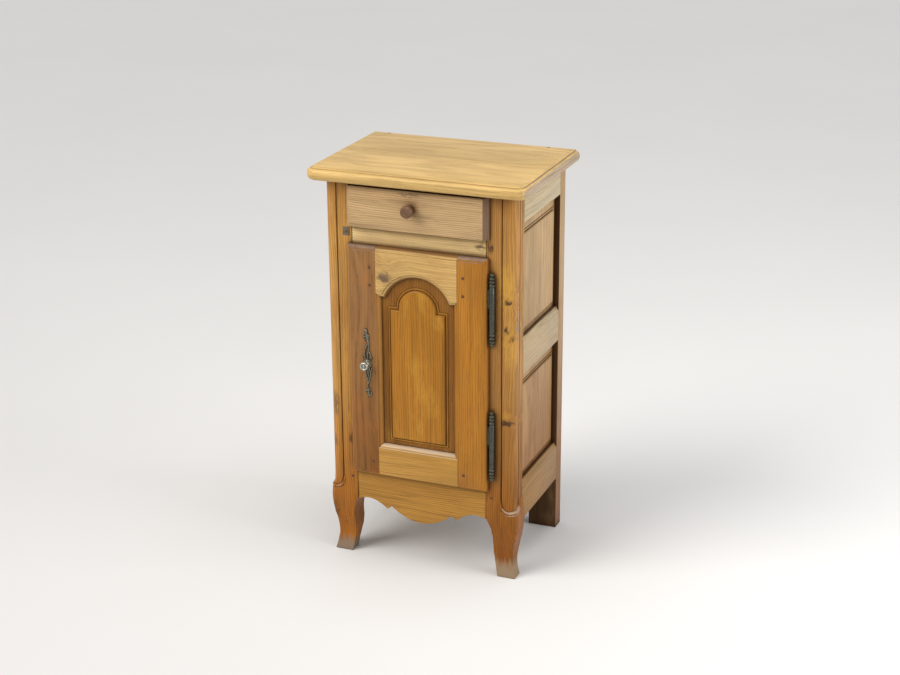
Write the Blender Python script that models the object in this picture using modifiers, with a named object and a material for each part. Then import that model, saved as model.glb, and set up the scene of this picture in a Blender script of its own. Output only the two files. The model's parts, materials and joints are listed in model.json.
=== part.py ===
"""Small provincial cupboard on cabriole legs: one drawer over one arched-panel door.

Metres, +Z up. The front faces -Y and the floor is Z = 0. The origin is the middle of
the whole object's box, at floor level.
"""

import math

import bmesh
import bpy
from mathutils import Matrix, Vector

# ---- Driving dimensions -------------------------------------------------------------

# Overall
HEIGHT = 0.820
BODY_WIDTH = 0.394
BODY_DEPTH = 0.292

# Clearances
FIT = 0.0003  # between pieces that touch
SLIDING = 0.0020  # beside and over the drawer box, and round the door's inner rebate
TURNING = 0.0004  # round a pin or a spindle

# Top, of two boards
TOP_THICKNESS = 0.0257
TOP_SIDE_OVERHANG = 0.029
TOP_FRONT_OVERHANG = 0.029
TOP_CORNER_RADIUS = 0.024
TOP_FRONT_BOARD = 0.1565
TOP_ARRIS_WIDTH = 0.0070
TOP_ARRIS_DEPTH = 0.0035
TOP_ROUND_WIDTH = 0.0070

# Posts
POST_WIDTH = 0.0586
POST_DEPTH = 0.049
POST_CORNER_RADIUS = 0.020
REAR_POST_WIDTH = 0.060
REAR_POST_DEPTH = 0.031

# Cabriole leg below the front post: height of each section, then how far it stands in
# from the post's inner, outer, front and back faces, then the radius of its outer arris.
LEG_SECTIONS = (
    (0.000, 0.0205, 0.0000, 0.0085, 0.0105, 0.0012),
    (0.020, 0.0165, 0.0045, 0.0120, 0.0105, 0.0015),
    (0.036, 0.0138, 0.0068, 0.0140, 0.0060, 0.0025),
    (0.050, 0.0122, 0.0062, 0.0125, -0.0005, 0.0040),
    (0.066, 0.0122, 0.0040, 0.0095, -0.0040, 0.0060),
    (0.086, 0.0125, -0.0010, 0.0050, -0.0025, 0.0085),
    (0.104, 0.0100, -0.0042, 0.0020, -0.0005, 0.0115),
    (0.116, 0.0060, -0.0055, 0.0000, 0.0000, 0.0135),
    (0.126, 0.0015, -0.0056, -0.0015, 0.0000, 0.0155),
    (0.138, 0.0000, -0.0050, -0.0020, 0.0000, 0.0175),
    (0.152, 0.0000, -0.0030, -0.0012, 0.0000, 0.0190),
    (0.174, 0.0000, 0.0000, 0.0000, 0.0000, POST_CORNER_RADIUS),
)
LEG_RING_STEP = 0.010

# Frame boards
RAIL_THICKNESS = 0.022
TENON_THICKNESS = 0.009
TENON_LENGTH = 0.024
REAR_TENON_LENGTH = 0.018
TENON_HAUNCH = 0.010
GROOVE_DEPTH = 0.008

# Apron under the door
APRON_END = 0.126
APRON_ARCH = 0.131
APRON_TIP = 0.112
APRON_NOTCH = 0.120
APRON_LOBE = 0.093
APRON_ARCH_FROM_POST = 0.0234
APRON_TIP_FROM_POST = 0.0644
APRON_NOTCH_FROM_POST = 0.0734

# Side frames and panels
SIDE_TOP_RAIL = 0.062
SIDE_MIDDLE_RAIL_FOOT = 0.424
SIDE_MIDDLE_RAIL = 0.073
SIDE_BOTTOM_RAIL_DROP = 0.077
SIDE_BOTTOM_RAIL = 0.082
RAIL_CHAMFER = 0.010
SIDE_PANEL_RECESS = 0.012
SIDE_PANEL_THICKNESS = 0.008
SIDE_FIELD_RISE = 0.004
SIDE_FIELD_MARGIN = 0.014
SIDE_FIELD_HEAD = 0.030
FIELD_BEVEL = 0.004

# Back
BACK_TOP_RAIL = 0.050
BACK_BOTTOM_RAIL_FOOT = 0.114
BACK_BOTTOM_RAIL = 0.072
BACK_RAIL_THICKNESS = 0.022
BACK_RAIL_INSET = 0.002
BACK_BOARD_THICKNESS = 0.010

# Drawer
DRAWER_HEADROOM = 0.0043
DRAWER_FACE_HEIGHT = 0.084
DRAWER_SIDE_LAP = 0.0081
DRAWER_FOOT_LAP = 0.006
DRAWER_FACE_PROUD = 0.015
DRAWER_FACE_BEVEL = 0.0095
DRAWER_BOARD = 0.010
DRAWER_BOX_DEPTH = 0.242
DRAWER_SIDE_HEIGHT = 0.058
DRAWER_BOTTOM_THICKNESS = 0.006
DRAWER_BOTTOM_RISE = 0.008
DRAWER_GROOVE_DEPTH = 0.005
DRAWER_FRONT_BLOCK = 0.008
TOP_RAIL_THICKNESS = 0.016
TOP_RAIL_DEPTH = 0.042
RUNNER_WIDTH = 0.020
RUNNER_THICKNESS = 0.018
GUIDE_WIDTH = 0.014
GUIDE_HEIGHT = 0.020
DRAWER_KNOB_X = -0.008
DRAWER_KNOB_RISE = 0.048
DRAWER_KNOB_RADIUS = 0.012
DRAWER_KNOB_LENGTH = 0.027
DRAWER_KNOB_STEM = 0.0070
DRAWER_KNOB_SPIGOT = 0.0045

# Door
RAIL_SHOWN = 0.035  # height of drawer rail seen between the drawer and the door
DOOR_FOOT = 0.191
DOOR_SIDE_LAP = 0.0061
DOOR_END_LAP = 0.009
DOOR_PROUD = 0.015
DOOR_REBATE_DEPTH = 0.008
DOOR_LIP_WIDTH = 0.009
DOOR_LIP_DEPTH = 0.008
STILE_FACE = 0.060
DOOR_BOTTOM_RAIL_FACE = 0.0615
DOOR_SHOULDER_DROP = 0.102
DOOR_ARCH_RISE = 0.046
DOOR_ARCH_SHOULDER = 0.0105
STICKING_WIDTH = 0.0085  # moulded inner edge of the door frame
STICKING_DEPTH = 0.0095
DOOR_TENON_LENGTH = 0.034
DOOR_PANEL_TONGUE = 0.008
DOOR_PANEL_BACK = 0.003  # the panel's back, behind the cupboard's front plane
DOOR_FIELD_MARGIN = 0.0200
DOOR_FIELD_FOOT = 0.0155
DOOR_FIELD_EAR = 0.018
DOOR_FIELD_EAR_DROP = 0.024
DOOR_FIELD_RISE = 0.044
DOOR_FIELD_PROUD = 0.0045
ARC_STEPS = 14

# Hinges: lift-off, with turned ends
HINGE_OFFSET = 0.0085
HINGE_AXIS_PROUD = 0.007
HINGE_RADIUS = 0.0053
HINGE_LENGTH = 0.148
HINGE_FINIAL = 0.030
HINGE_PIN_RADIUS = 0.0026
HINGE_PIN_REACH = 0.028
HINGE_LEAF_THICKNESS = 0.002
HINGE_LEAF_MARGIN = 0.003
HINGE_POST_LEAF = 0.022
HINGE_DOOR_LEAF = 0.028
UPPER_HINGE_FROM_TOP = 0.028
LOWER_HINGE_FROM_FOOT = 0.023
HINGE_SIDES = 14

# Door knob, its plate and the turn latch behind the door
KNOB_FROM_EDGE = 0.040
KNOB_HEIGHT = 0.430
KNOB_RADIUS = 0.009
KNOB_LENGTH = 0.019
SPINDLE_RADIUS = 0.0032
PLATE_THICKNESS = 0.0022
PLATE_HALF_LENGTH = 0.071
PLATE_HALF_WIDTH = 0.0085
PLATE_STEPS = 30
TONGUE_LENGTH = 0.0400
TONGUE_WIDTH = 0.012
TONGUE_THICKNESS = 0.003
TONGUE_CLEARANCE = 0.001
STRIKE_THICKNESS = 0.0015
STRIKE_BORDER = 0.008

# Inside
BOTTOM_BOARD_THICKNESS = 0.012
BOARD_SETBACK = 0.024
SHELF_HEIGHT = 0.446
SHELF_THICKNESS = 0.014
SHELF_END_GAP = 0.001
CLEAT_WIDTH = 0.014
CLEAT_HEIGHT = 0.015

# Pegs
PEG_RADIUS = 0.0035
PEG_LENGTH = 0.019
PEG_PROUD = 0.0003
FRAME_PEG_FROM_JOINT = 0.0115
APRON_PEG_DROP = 0.026
RAIL_PEG_DROP = 0.020
DOOR_PEG_FROM_JOINT = 0.0125
DOOR_TOP_PEGS = (0.042, 0.078)  # below the door's top
DOOR_BOTTOM_PEG = 0.030  # above the door's foot
PEG_SIDES = 10

# Colours, linear RGB
HONEY_OAK = (0.36, 0.18, 0.055)
PALE_OAK = (0.50, 0.30, 0.11)
BROWN_OAK = (0.24, 0.10, 0.035)
RAW_OAK = (0.42, 0.29, 0.16)
DARK_PEG = (0.09, 0.045, 0.025)
DARK_IRON = (0.055, 0.055, 0.045)
AGED_PEWTER = (0.22, 0.20, 0.15)

# ---- Sizes that follow --------------------------------------------------------------

HALF_WIDTH = BODY_WIDTH / 2
OPENING_HALF = HALF_WIDTH - POST_WIDTH
REACH = max(
    DRAWER_FACE_PROUD + DRAWER_KNOB_LENGTH,
    DOOR_PROUD + PLATE_THICKNESS + KNOB_LENGTH,
    TOP_FRONT_OVERHANG,
)
FRONT = (REACH - BODY_DEPTH) / 2  # Y of the posts' front faces
BACK = FRONT + BODY_DEPTH
POST_BACK = FRONT + POST_DEPTH
REAR_POST_FRONT = BACK - REAR_POST_DEPTH
TOP_UNDER = HEIGHT - TOP_THICKNESS
FRAME_TOP = TOP_UNDER - FIT

DRAWER_TOP = TOP_UNDER - DRAWER_HEADROOM
DRAWER_FOOT = DRAWER_TOP - DRAWER_FACE_HEIGHT
DOOR_TOP = DRAWER_FOOT - RAIL_SHOWN
DOOR_HALF = OPENING_HALF + DOOR_SIDE_LAP
RAIL_TOP = DRAWER_FOOT + DRAWER_FOOT_LAP
RAIL_FOOT = DOOR_TOP - DOOR_END_LAP
APRON_TOP = DOOR_FOOT + DOOR_END_LAP
SIDE_BOTTOM_RAIL_FOOT = DOOR_FOOT - SIDE_BOTTOM_RAIL_DROP

STILE_JOINT = DOOR_HALF - STILE_FACE
DOOR_OPENING_HALF = STILE_JOINT - STICKING_WIDTH
DOOR_OPENING_FOOT = DOOR_FOOT + DOOR_BOTTOM_RAIL_FACE + STICKING_WIDTH
DOOR_SHOULDER = DOOR_TOP - DOOR_SHOULDER_DROP
TENON_MIDDLE = FRONT + RAIL_THICKNESS / 2

HINGE_X = DOOR_HALF + HINGE_OFFSET
HINGE_Y = FRONT - HINGE_AXIS_PROUD
HINGE_HALF = HINGE_LENGTH / 2
HINGE_MIDDLES = {
    "upper": DOOR_TOP - UPPER_HINGE_FROM_TOP - HINGE_HALF,
    "lower": DOOR_FOOT + LOWER_HINGE_FROM_FOOT + HINGE_HALF,
}
KNOB_X = KNOB_FROM_EDGE - DOOR_HALF
SIDE_INNER = HALF_WIDTH - RAIL_THICKNESS
PANEL_OUTER = HALF_WIDTH - SIDE_PANEL_RECESS
PANEL_INNER = PANEL_OUTER - SIDE_PANEL_THICKNESS
RUNNER_TOP = RAIL_TOP
DRAWER_BOX_HALF = OPENING_HALF - SLIDING
DRAWER_BOX_FOOT = RUNNER_TOP + FIT
DRAWER_BACK = FRONT + DRAWER_FRONT_BLOCK + DRAWER_BOX_DEPTH
BACK_RAIL_BACK = BACK - BACK_RAIL_INSET
BACK_RAIL_FRONT = BACK_RAIL_BACK - BACK_RAIL_THICKNESS
BACK_BOARD_MIDDLE = (BACK_RAIL_BACK + BACK_RAIL_FRONT) / 2
REAR_OPENING_HALF = HALF_WIDTH - REAR_POST_WIDTH
SIDE_OPENINGS = {
    "upper": (SIDE_MIDDLE_RAIL_FOOT + SIDE_MIDDLE_RAIL, FRAME_TOP - SIDE_TOP_RAIL),
    "lower": (SIDE_BOTTOM_RAIL_FOOT + SIDE_BOTTOM_RAIL, SIDE_MIDDLE_RAIL_FOOT),
}
SIDES = {"left": -1, "right": 1}


# ---- Scene --------------------------------------------------------------------------


def clear_scene():
    for obj in list(bpy.data.objects):
        bpy.data.objects.remove(obj, do_unlink=True)


def new_collection(name):
    collection = bpy.data.collections.new(name)
    bpy.context.scene.collection.children.link(collection)
    return collection


clear_scene()
PARTS = new_collection("provincial_cupboard")
CUTTERS = new_collection("cutters")


# ---- Making shapes ------------------------------------------------------------------


def from_bmesh(name, shape):
    mesh = bpy.data.meshes.new(name)
    bmesh.ops.recalc_face_normals(shape, faces=shape.faces)
    shape.to_mesh(mesh)
    shape.free()
    obj = bpy.data.objects.new(name, mesh)
    PARTS.objects.link(obj)
    return obj


def box(name, x, y, z):
    """A squared block; x, y and z are each a (low, high) pair."""
    shape = bmesh.new()
    bmesh.ops.create_cube(shape, size=1.0)
    spans = [sorted(span) for span in (x, y, z)]
    bmesh.ops.scale(shape, vec=[high - low for low, high in spans], verts=shape.verts)
    obj = from_bmesh(name, shape)
    obj.location = [(high + low) / 2 for low, high in spans]
    return obj


def rod(name, radius, start, length, axis, sides=PEG_SIDES):
    """A round bar from a start point, along +axis."""
    shape = bmesh.new()
    bmesh.ops.create_cone(
        shape, cap_ends=True, segments=sides, radius1=radius, radius2=radius, depth=length
    )
    obj = from_bmesh(name, shape)
    direction = Vector([float(axis == letter) for letter in "XYZ"])
    obj.rotation_euler = direction.to_track_quat("Z", "Y").to_euler()
    obj.location = Vector(start) + direction * length / 2
    return obj


FACINGS = {
    "X": Matrix(((0, 0, 1), (1, 0, 0), (0, 1, 0))),
    "Y": Matrix(((1, 0, 0), (0, 0, -1), (0, 1, 0))),
    "Z": Matrix.Identity(3),
}


def board(name, outline, facing, span):
    """A flat board: its outline is drawn across the facing axis, and it fills the span along it."""
    curve = bpy.data.curves.new(name, "CURVE")
    curve.dimensions = "2D"
    curve.fill_mode = "BOTH"
    curve.extrude = abs(span[1] - span[0]) / 2
    spline = curve.splines.new("POLY")
    spline.points.add(len(outline) - 1)
    for point, (across, up) in zip(spline.points, outline):
        point.co = (across, up, 0.0, 1.0)
    spline.use_cyclic_u = True
    drawn = bpy.data.objects.new(name, curve)
    CUTTERS.objects.link(drawn)
    mesh = bpy.data.meshes.new_from_object(
        drawn.evaluated_get(bpy.context.evaluated_depsgraph_get())
    )
    bpy.data.objects.remove(drawn, do_unlink=True)
    shape = bmesh.new()
    shape.from_mesh(mesh)
    bpy.data.meshes.remove(mesh)
    bmesh.ops.remove_doubles(shape, verts=shape.verts, dist=0.00001)
    obj = from_bmesh(name, shape)
    middle = Vector((0.0, 0.0, sum(span) / 2))
    if facing == "Y":
        middle.z = -middle.z
    obj.matrix_world = FACINGS[facing].to_4x4() @ Matrix.Translation(middle)
    return obj


def loft(name, rings):
    """A closed body through rings that each hold the same number of points."""
    shape = bmesh.new()
    loops = [[shape.verts.new(point) for point in ring] for ring in rings]
    for lower, upper in zip(loops, loops[1:]):
        for index, corner in enumerate(lower):
            after = (index + 1) % len(lower)
            shape.faces.new((corner, lower[after], upper[after], upper[index]))
    shape.faces.new(loops[0])
    shape.faces.new(loops[-1])
    return from_bmesh(name, shape)


def turned(name, profile, place, axis="Z", sides=16):
    """A turned piece: (radius, height) points from the top down, spun about its axis."""
    mesh = bpy.data.meshes.new(name)
    points = [(radius, 0.0, height) for radius, height in profile]
    mesh.from_pydata(points, [(i, i + 1) for i in range(len(points) - 1)], [])
    obj = bpy.data.objects.new(name, mesh)
    PARTS.objects.link(obj)
    obj.location = place
    if axis == "-Y":
        obj.rotation_euler = (math.pi / 2, 0.0, 0.0)
    screw = obj.modifiers.new("turn", "SCREW")
    screw.steps = sides
    screw.render_steps = sides
    screw.use_merge_vertices = True
    screw.merge_threshold = 0.00001
    screw.use_smooth_shade = True
    return obj


def combine(obj, tool, operation):
    """Cuts, joins or trims obj by another shape, which becomes a hidden helper."""
    if tool.name in PARTS.objects:
        PARTS.objects.unlink(tool)
        CUTTERS.objects.link(tool)
    tool.hide_render = True
    tool.display_type = "WIRE"
    modifier = obj.modifiers.new(f"{operation.lower()} {tool.name}", "BOOLEAN")
    modifier.operation = operation
    modifier.solver = "EXACT"
    modifier.object = tool


def cut(tool, *pieces):
    for piece in pieces:
        combine(piece, tool, "DIFFERENCE")


def grown(span, amount=FIT):
    low, high = sorted(span)
    return (low - amount, high + amount)


def finish(obj, colour, roughness=0.45, metallic=0.0):
    material = bpy.data.materials.new(obj.name)
    material.use_nodes = True
    shader = material.node_tree.nodes["Principled BSDF"]
    shader.inputs["Base Color"].default_value = (*colour, 1.0)
    shader.inputs["Roughness"].default_value = roughness
    shader.inputs["Metallic"].default_value = metallic
    obj.data.materials.clear()
    obj.data.materials.append(material)
    return obj


def smooth(obj, angle=30):
    obj.data.shade_smooth()
    obj.data.set_sharp_from_angle(angle=math.radians(angle))
    return obj


def ride(empty, pieces):
    """Parents pieces to an empty on their joint's axis, leaving them where they are."""
    for piece in pieces:
        piece.parent = empty
        piece.matrix_parent_inverse = Matrix.Translation(-empty.location)


def joint_empty(name, place):
    empty = bpy.data.objects.new(name, None)
    empty.location = place
    empty.empty_display_size = 0.03
    PARTS.objects.link(empty)
    return empty


# ---- Joinery ------------------------------------------------------------------------


def tenoned(rail, tenons):
    """Joins each tenon to its rail. A tenon is an (x, y, z) trio of spans."""
    for number, spans in enumerate(tenons):
        combine(rail, box(f"{rail.name}_tenon_{number}", *spans), "UNION")


def mortise(post, name, spans):
    """Cuts the hole that a tenon of these spans fits."""
    cut(box(f"{name}_mortise", *[grown(span) for span in spans]), post)


def peg_hole(name, place, axis, length, *pieces):
    start = Vector(place)
    start["XYZ".index(axis)] -= FIT
    cut(rod(name, PEG_RADIUS + FIT, start, length + 2 * FIT, axis), *pieces)


# ---- Outlines -----------------------------------------------------------------------


def arc(centre, radius, start, end, steps):
    """Points on a circle, from one angle to another, both ends included."""
    angles = [start + (end - start) * step / steps for step in range(steps + 1)]
    return [
        (centre[0] + radius * math.cos(angle), centre[1] + radius * math.sin(angle))
        for angle in angles
    ]


def rectangle(x, y):
    return [(x[0], y[0]), (x[1], y[0]), (x[1], y[1]), (x[0], y[1])]


def arched_outline(half, foot, shoulder, chord_half, rise, grow=0.0):
    """An upright opening with flat shoulders and a round arch, offset outwards by grow."""
    radius = (chord_half**2 + rise**2) / (2 * rise)
    centre = shoulder + rise - radius
    shoulder += grow
    radius += grow
    lean = math.asin((shoulder - centre) / radius)
    side = half + grow
    crown = arc((0.0, centre), radius, lean, math.pi - lean, ARC_STEPS)
    return [(-side, foot - grow), (side, foot - grow), (side, shoulder), *crown, (-side, shoulder)]


def door_opening(grow=0.0):
    return arched_outline(
        DOOR_OPENING_HALF,
        DOOR_OPENING_FOOT,
        DOOR_SHOULDER,
        DOOR_OPENING_HALF - DOOR_ARCH_SHOULDER,
        DOOR_ARCH_RISE,
        grow,
    )


def door_field(grow=0.0):
    half = DOOR_OPENING_HALF - DOOR_FIELD_MARGIN
    return arched_outline(
        half,
        DOOR_OPENING_FOOT + DOOR_FIELD_FOOT,
        DOOR_SHOULDER - DOOR_FIELD_EAR_DROP,
        half - DOOR_FIELD_EAR,
        DOOR_FIELD_RISE,
        grow,
    )


def upright(outline, y):
    """The outline's points standing in the plane at this Y."""
    return [(x, y, z) for x, z in outline]


# ---- Top ----------------------------------------------------------------------------


def top_ring(inset, z, front, back):
    """The top's outline at one height of its moulded edge. The front corners are round."""
    half = HALF_WIDTH + TOP_SIDE_OVERHANG - inset
    if front > FRONT - TOP_FRONT_OVERHANG:
        return [(x, y, z) for x, y in rectangle((-half, half), (front, back))]
    front += inset
    radius = TOP_CORNER_RADIUS - inset
    left = arc((radius - half, front + radius), radius, math.pi, 1.5 * math.pi, 6)
    right = arc((half - radius, front + radius), radius, 1.5 * math.pi, 2 * math.pi, 6)
    return [(x, y, z) for x, y in [*left, *right, (half, back), (-half, back)]]


def edge_profile():
    """(inset, height) of the top's moulded edge: round nose below, a step, then an arris."""
    nose = (TOP_THICKNESS - TOP_ARRIS_DEPTH) / 2
    middle = TOP_UNDER + nose
    turns = [-math.pi / 2 + math.pi * step / 6 for step in range(7)]
    rounds = [
        (TOP_ROUND_WIDTH * (1 - math.cos(turn)), middle + nose * math.sin(turn)) for turn in turns
    ]
    return [*rounds, (TOP_ROUND_WIDTH + TOP_ARRIS_WIDTH / 2, HEIGHT)]


def make_top():
    seam = FRONT - TOP_FRONT_OVERHANG + TOP_FRONT_BOARD
    spans = {
        "top_front_board": (FRONT - TOP_FRONT_OVERHANG, seam - FIT / 2),
        "top_rear_board": (seam + FIT / 2, BACK),
    }
    for name, (front, back) in spans.items():
        rings = [top_ring(inset, z, front, back) for inset, z in edge_profile()]
        finish(smooth(loft(name, rings)), PALE_OAK, 0.35)


# ---- Posts and legs -----------------------------------------------------------------


def leg_section(z):
    """How far the leg stands in from the post's faces at this height, smoothly between sections."""
    for lower, upper in zip(LEG_SECTIONS, LEG_SECTIONS[1:]):
        if z <= upper[0]:
            break
    share = min(1.0, (z - lower[0]) / (upper[0] - lower[0]))
    eased = (share + share * share * (3 - 2 * share)) / 2
    return [a + (b - a) * eased for a, b in zip(lower[1:], upper[1:])]


def leg_ring(z, side):
    inner, outer, front, back, radius = leg_section(min(z, LEG_SECTIONS[-1][0]))
    inner += OPENING_HALF
    outer = HALF_WIDTH - outer
    front += FRONT
    if z > SIDE_BOTTOM_RAIL_FOOT - LEG_RING_STEP:
        back = max(back, 0.0)  # flush where the side rail butts against it
    back = POST_BACK - back
    corner = arc((outer - radius, front + radius), radius, -math.pi / 2, 0.0, 6)
    outline = [(inner, front), *corner, (outer, back), (inner, back)]
    return [(side * x, y, z) for x, y in outline]


def make_front_post(side_name):
    side = SIDES[side_name]
    rise = LEG_SECTIONS[-1][0]
    count = round(rise / LEG_RING_STEP)
    heights = [rise * step / count for step in range(count + 1)] + [FRAME_TOP]
    post = loft(f"front_post_{side_name}", [leg_ring(z, side) for z in heights])
    return finish(smooth(post, 40), HONEY_OAK, 0.4)


def make_rear_post(side_name):
    side = SIDES[side_name]
    x = (side * REAR_OPENING_HALF, side * HALF_WIDTH)
    post = box(f"rear_post_{side_name}", x, (REAR_POST_FRONT, BACK), (0.0, FRAME_TOP))
    return finish(post, HONEY_OAK, 0.5)


# ---- Front frame --------------------------------------------------------------------


def front_tenons(z, length=TENON_LENGTH):
    y = (TENON_MIDDLE - TENON_THICKNESS / 2, TENON_MIDDLE + TENON_THICKNESS / 2)
    reach = OPENING_HALF + length
    root = OPENING_HALF - TENON_LENGTH / 2
    return {name: ((side * root, side * reach), y, z) for name, side in SIDES.items()}


def front_member(shape, z, posts):
    """Gives a rail its two tenons and cuts their mortises in the front posts."""
    tenons = front_tenons(z)
    tenoned(shape, tenons.values())
    for name, spans in tenons.items():
        mortise(posts[name], f"{shape.name}_{name}", spans)


def apron_outline():
    """Half of the scalloped lower edge, mirrored, under a straight top."""
    post = OPENING_HALF - FIT
    notch = OPENING_HALF - APRON_NOTCH_FROM_POST
    tip = OPENING_HALF - APRON_TIP_FROM_POST
    arch = OPENING_HALF - APRON_ARCH_FROM_POST
    half = []
    for step in range(1, 9):
        share = step / 8
        half.append((notch * share, APRON_LOBE + (APRON_NOTCH - APRON_LOBE) * share**2))
    for step in range(7):
        share = step / 6
        drop = (APRON_ARCH - APRON_TIP) * (1 - share) ** 1.8
        half.append((tip + (arch - tip) * share, APRON_ARCH - drop))
    for step in range(1, 4):
        share = step / 3
        drop = (APRON_ARCH - APRON_END) * share**2
        half.append((arch + (post - arch) * share, APRON_ARCH - drop))
    mirrored = [(-x, z) for x, z in reversed(half)]
    return [*mirrored, (0.0, APRON_LOBE), *half, (post, APRON_TOP), (-post, APRON_TOP)]


def make_front_frame(posts):
    span = (FRONT, FRONT + RAIL_THICKNESS)
    inside = (FIT - OPENING_HALF, OPENING_HALF - FIT)
    rail = box("drawer_rail", inside, span, (RAIL_FOOT, RAIL_TOP))
    front_member(rail, (RAIL_FOOT + TENON_HAUNCH, RAIL_TOP - TENON_HAUNCH), posts)
    apron = board("apron", apron_outline(), "Y", span)
    front_member(apron, (APRON_ARCH + TENON_HAUNCH, APRON_TOP - TENON_HAUNCH), posts)
    top_rail = box(
        "top_front_rail",
        inside,
        (FRONT + FIT, FRONT + TOP_RAIL_DEPTH),
        (FRAME_TOP - TOP_RAIL_THICKNESS, FRAME_TOP),
    )
    inset = TOP_RAIL_THICKNESS / 4
    front_member(top_rail, (FRAME_TOP - 3 * inset, FRAME_TOP - inset), posts)
    for piece in (rail, apron, top_rail):
        finish(piece, HONEY_OAK)
    frame_pegs(posts, rail, apron)


def frame_pegs(posts, rail, apron):
    """A peg through each front tenon, and the holes they stand in."""
    for name, side in SIDES.items():
        x = side * (OPENING_HALF + FRAME_PEG_FROM_JOINT)
        heights = {rail: RAIL_TOP - RAIL_PEG_DROP, apron: APRON_TOP - APRON_PEG_DROP}
        for member, z in heights.items():
            start = (x, FRONT - PEG_PROUD, z)
            hole = f"{member.name}_{name}_peg_hole"
            peg_hole(hole, start, "Y", PEG_LENGTH, posts[name], member)
            peg = rod(f"{member.name}_peg_{name}", PEG_RADIUS, start, PEG_LENGTH, "Y")
            finish(peg, DARK_PEG)


# ---- Side frames --------------------------------------------------------------------


def side_rail(side_name, level, z, chamfered, haunches):
    """A side rail with its tenons. The chamfer is on its outer upper edge."""
    side = SIDES[side_name]
    face = side * HALF_WIDTH
    inner = side * SIDE_INNER
    outline = [(inner, z[0]), (face, z[0]), (face, z[1]), (inner, z[1])]
    if chamfered:
        outline[2:3] = [
            (face, z[1] - RAIL_CHAMFER),
            (face - side * RAIL_CHAMFER / 2, z[1]),
        ]
    name = f"side_{level}_rail_{side_name}"
    rail = board(name, outline, "Y", (POST_BACK + FIT, REAR_POST_FRONT - FIT))
    middle = side * (PANEL_INNER + PANEL_OUTER) / 2
    x = (middle - TENON_THICKNESS / 2, middle + TENON_THICKNESS / 2)
    height = (z[0] + haunches[0], z[1] - haunches[1])
    root = TENON_LENGTH / 2
    front = (x, (POST_BACK - TENON_LENGTH, POST_BACK + root), height)
    rear = (x, (REAR_POST_FRONT - root, REAR_POST_FRONT + REAR_TENON_LENGTH), height)
    tenoned(rail, (front, rear))
    return finish(rail, HONEY_OAK), front, rear


def side_panel(side_name, level, foot, head):
    """A fielded panel let into grooves on its four edges, and the cutter for the grooves."""
    side = SIDES[side_name]
    tongue = GROOVE_DEPTH - FIT
    y = (POST_BACK - tongue, REAR_POST_FRONT + tongue)
    z = (foot - tongue, head + tongue)
    field_y = (POST_BACK + SIDE_FIELD_MARGIN, REAR_POST_FRONT - SIDE_FIELD_MARGIN)
    field_z = (foot + SIDE_FIELD_MARGIN, head - SIDE_FIELD_HEAD)
    field_face = PANEL_OUTER + SIDE_FIELD_RISE
    levels = (
        (PANEL_INNER, y, z, 0.0),
        (PANEL_OUTER, y, z, 0.0),
        (PANEL_OUTER, field_y, field_z, 0.0),
        (field_face, field_y, field_z, FIELD_BEVEL),
    )
    rings = []
    for x, along, up, inset in levels:
        outline = rectangle(grown(along, -inset), grown(up, -inset))
        rings.append([(side * x, across, height) for across, height in outline])
    panel = loft(f"side_{level}_panel_{side_name}", rings)
    finish(panel, HONEY_OAK)
    thickness = sorted((side * PANEL_INNER, side * PANEL_OUTER))
    groove = box(f"side_{level}_groove_{side_name}", grown(thickness), grown(y), grown(z))
    return panel, groove


def make_side(side_name, front_post, rear_post):
    upper = SIDE_OPENINGS["upper"]
    lower = SIDE_OPENINGS["lower"]
    haunch = TENON_HAUNCH + GROOVE_DEPTH
    rails = {}
    spans = {
        "top": ((upper[1], FRAME_TOP), False, (haunch, TENON_HAUNCH)),
        "middle": ((lower[1], upper[0]), True, (haunch, haunch)),
        "bottom": ((SIDE_BOTTOM_RAIL_FOOT, lower[0]), True, (TENON_HAUNCH, haunch)),
    }
    for level, (z, chamfered, haunches) in spans.items():
        rail, front, rear = side_rail(side_name, level, z, chamfered, haunches)
        mortise(front_post, f"{rail.name}_front", front)
        mortise(rear_post, f"{rail.name}_rear", rear)
        rails[level] = rail
    for level, (foot, head) in SIDE_OPENINGS.items():
        panel, groove = side_panel(side_name, level, foot, head)
        above = rails["top" if level == "upper" else "middle"]
        below = rails["middle" if level == "upper" else "bottom"]
        cut(groove, front_post, rear_post, above, below)


# ---- Back ---------------------------------------------------------------------------


def back_rail(name, z, haunches, posts):
    inside = (FIT - REAR_OPENING_HALF, REAR_OPENING_HALF - FIT)
    rail = box(name, inside, (BACK_RAIL_FRONT, BACK_RAIL_BACK), z)
    y = (BACK_BOARD_MIDDLE - TENON_THICKNESS / 2, BACK_BOARD_MIDDLE + TENON_THICKNESS / 2)
    height = (z[0] + haunches[0], z[1] - haunches[1])
    root = REAR_OPENING_HALF - TENON_LENGTH / 2
    reach = REAR_OPENING_HALF + TENON_LENGTH
    tenons = {side_name: ((side * root, side * reach), y, height) for side_name, side in SIDES.items()}
    tenoned(rail, tenons.values())
    for side_name, spans in tenons.items():
        mortise(posts[side_name], f"{name}_{side_name}", spans)
    return finish(rail, RAW_OAK, 0.7)


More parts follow.
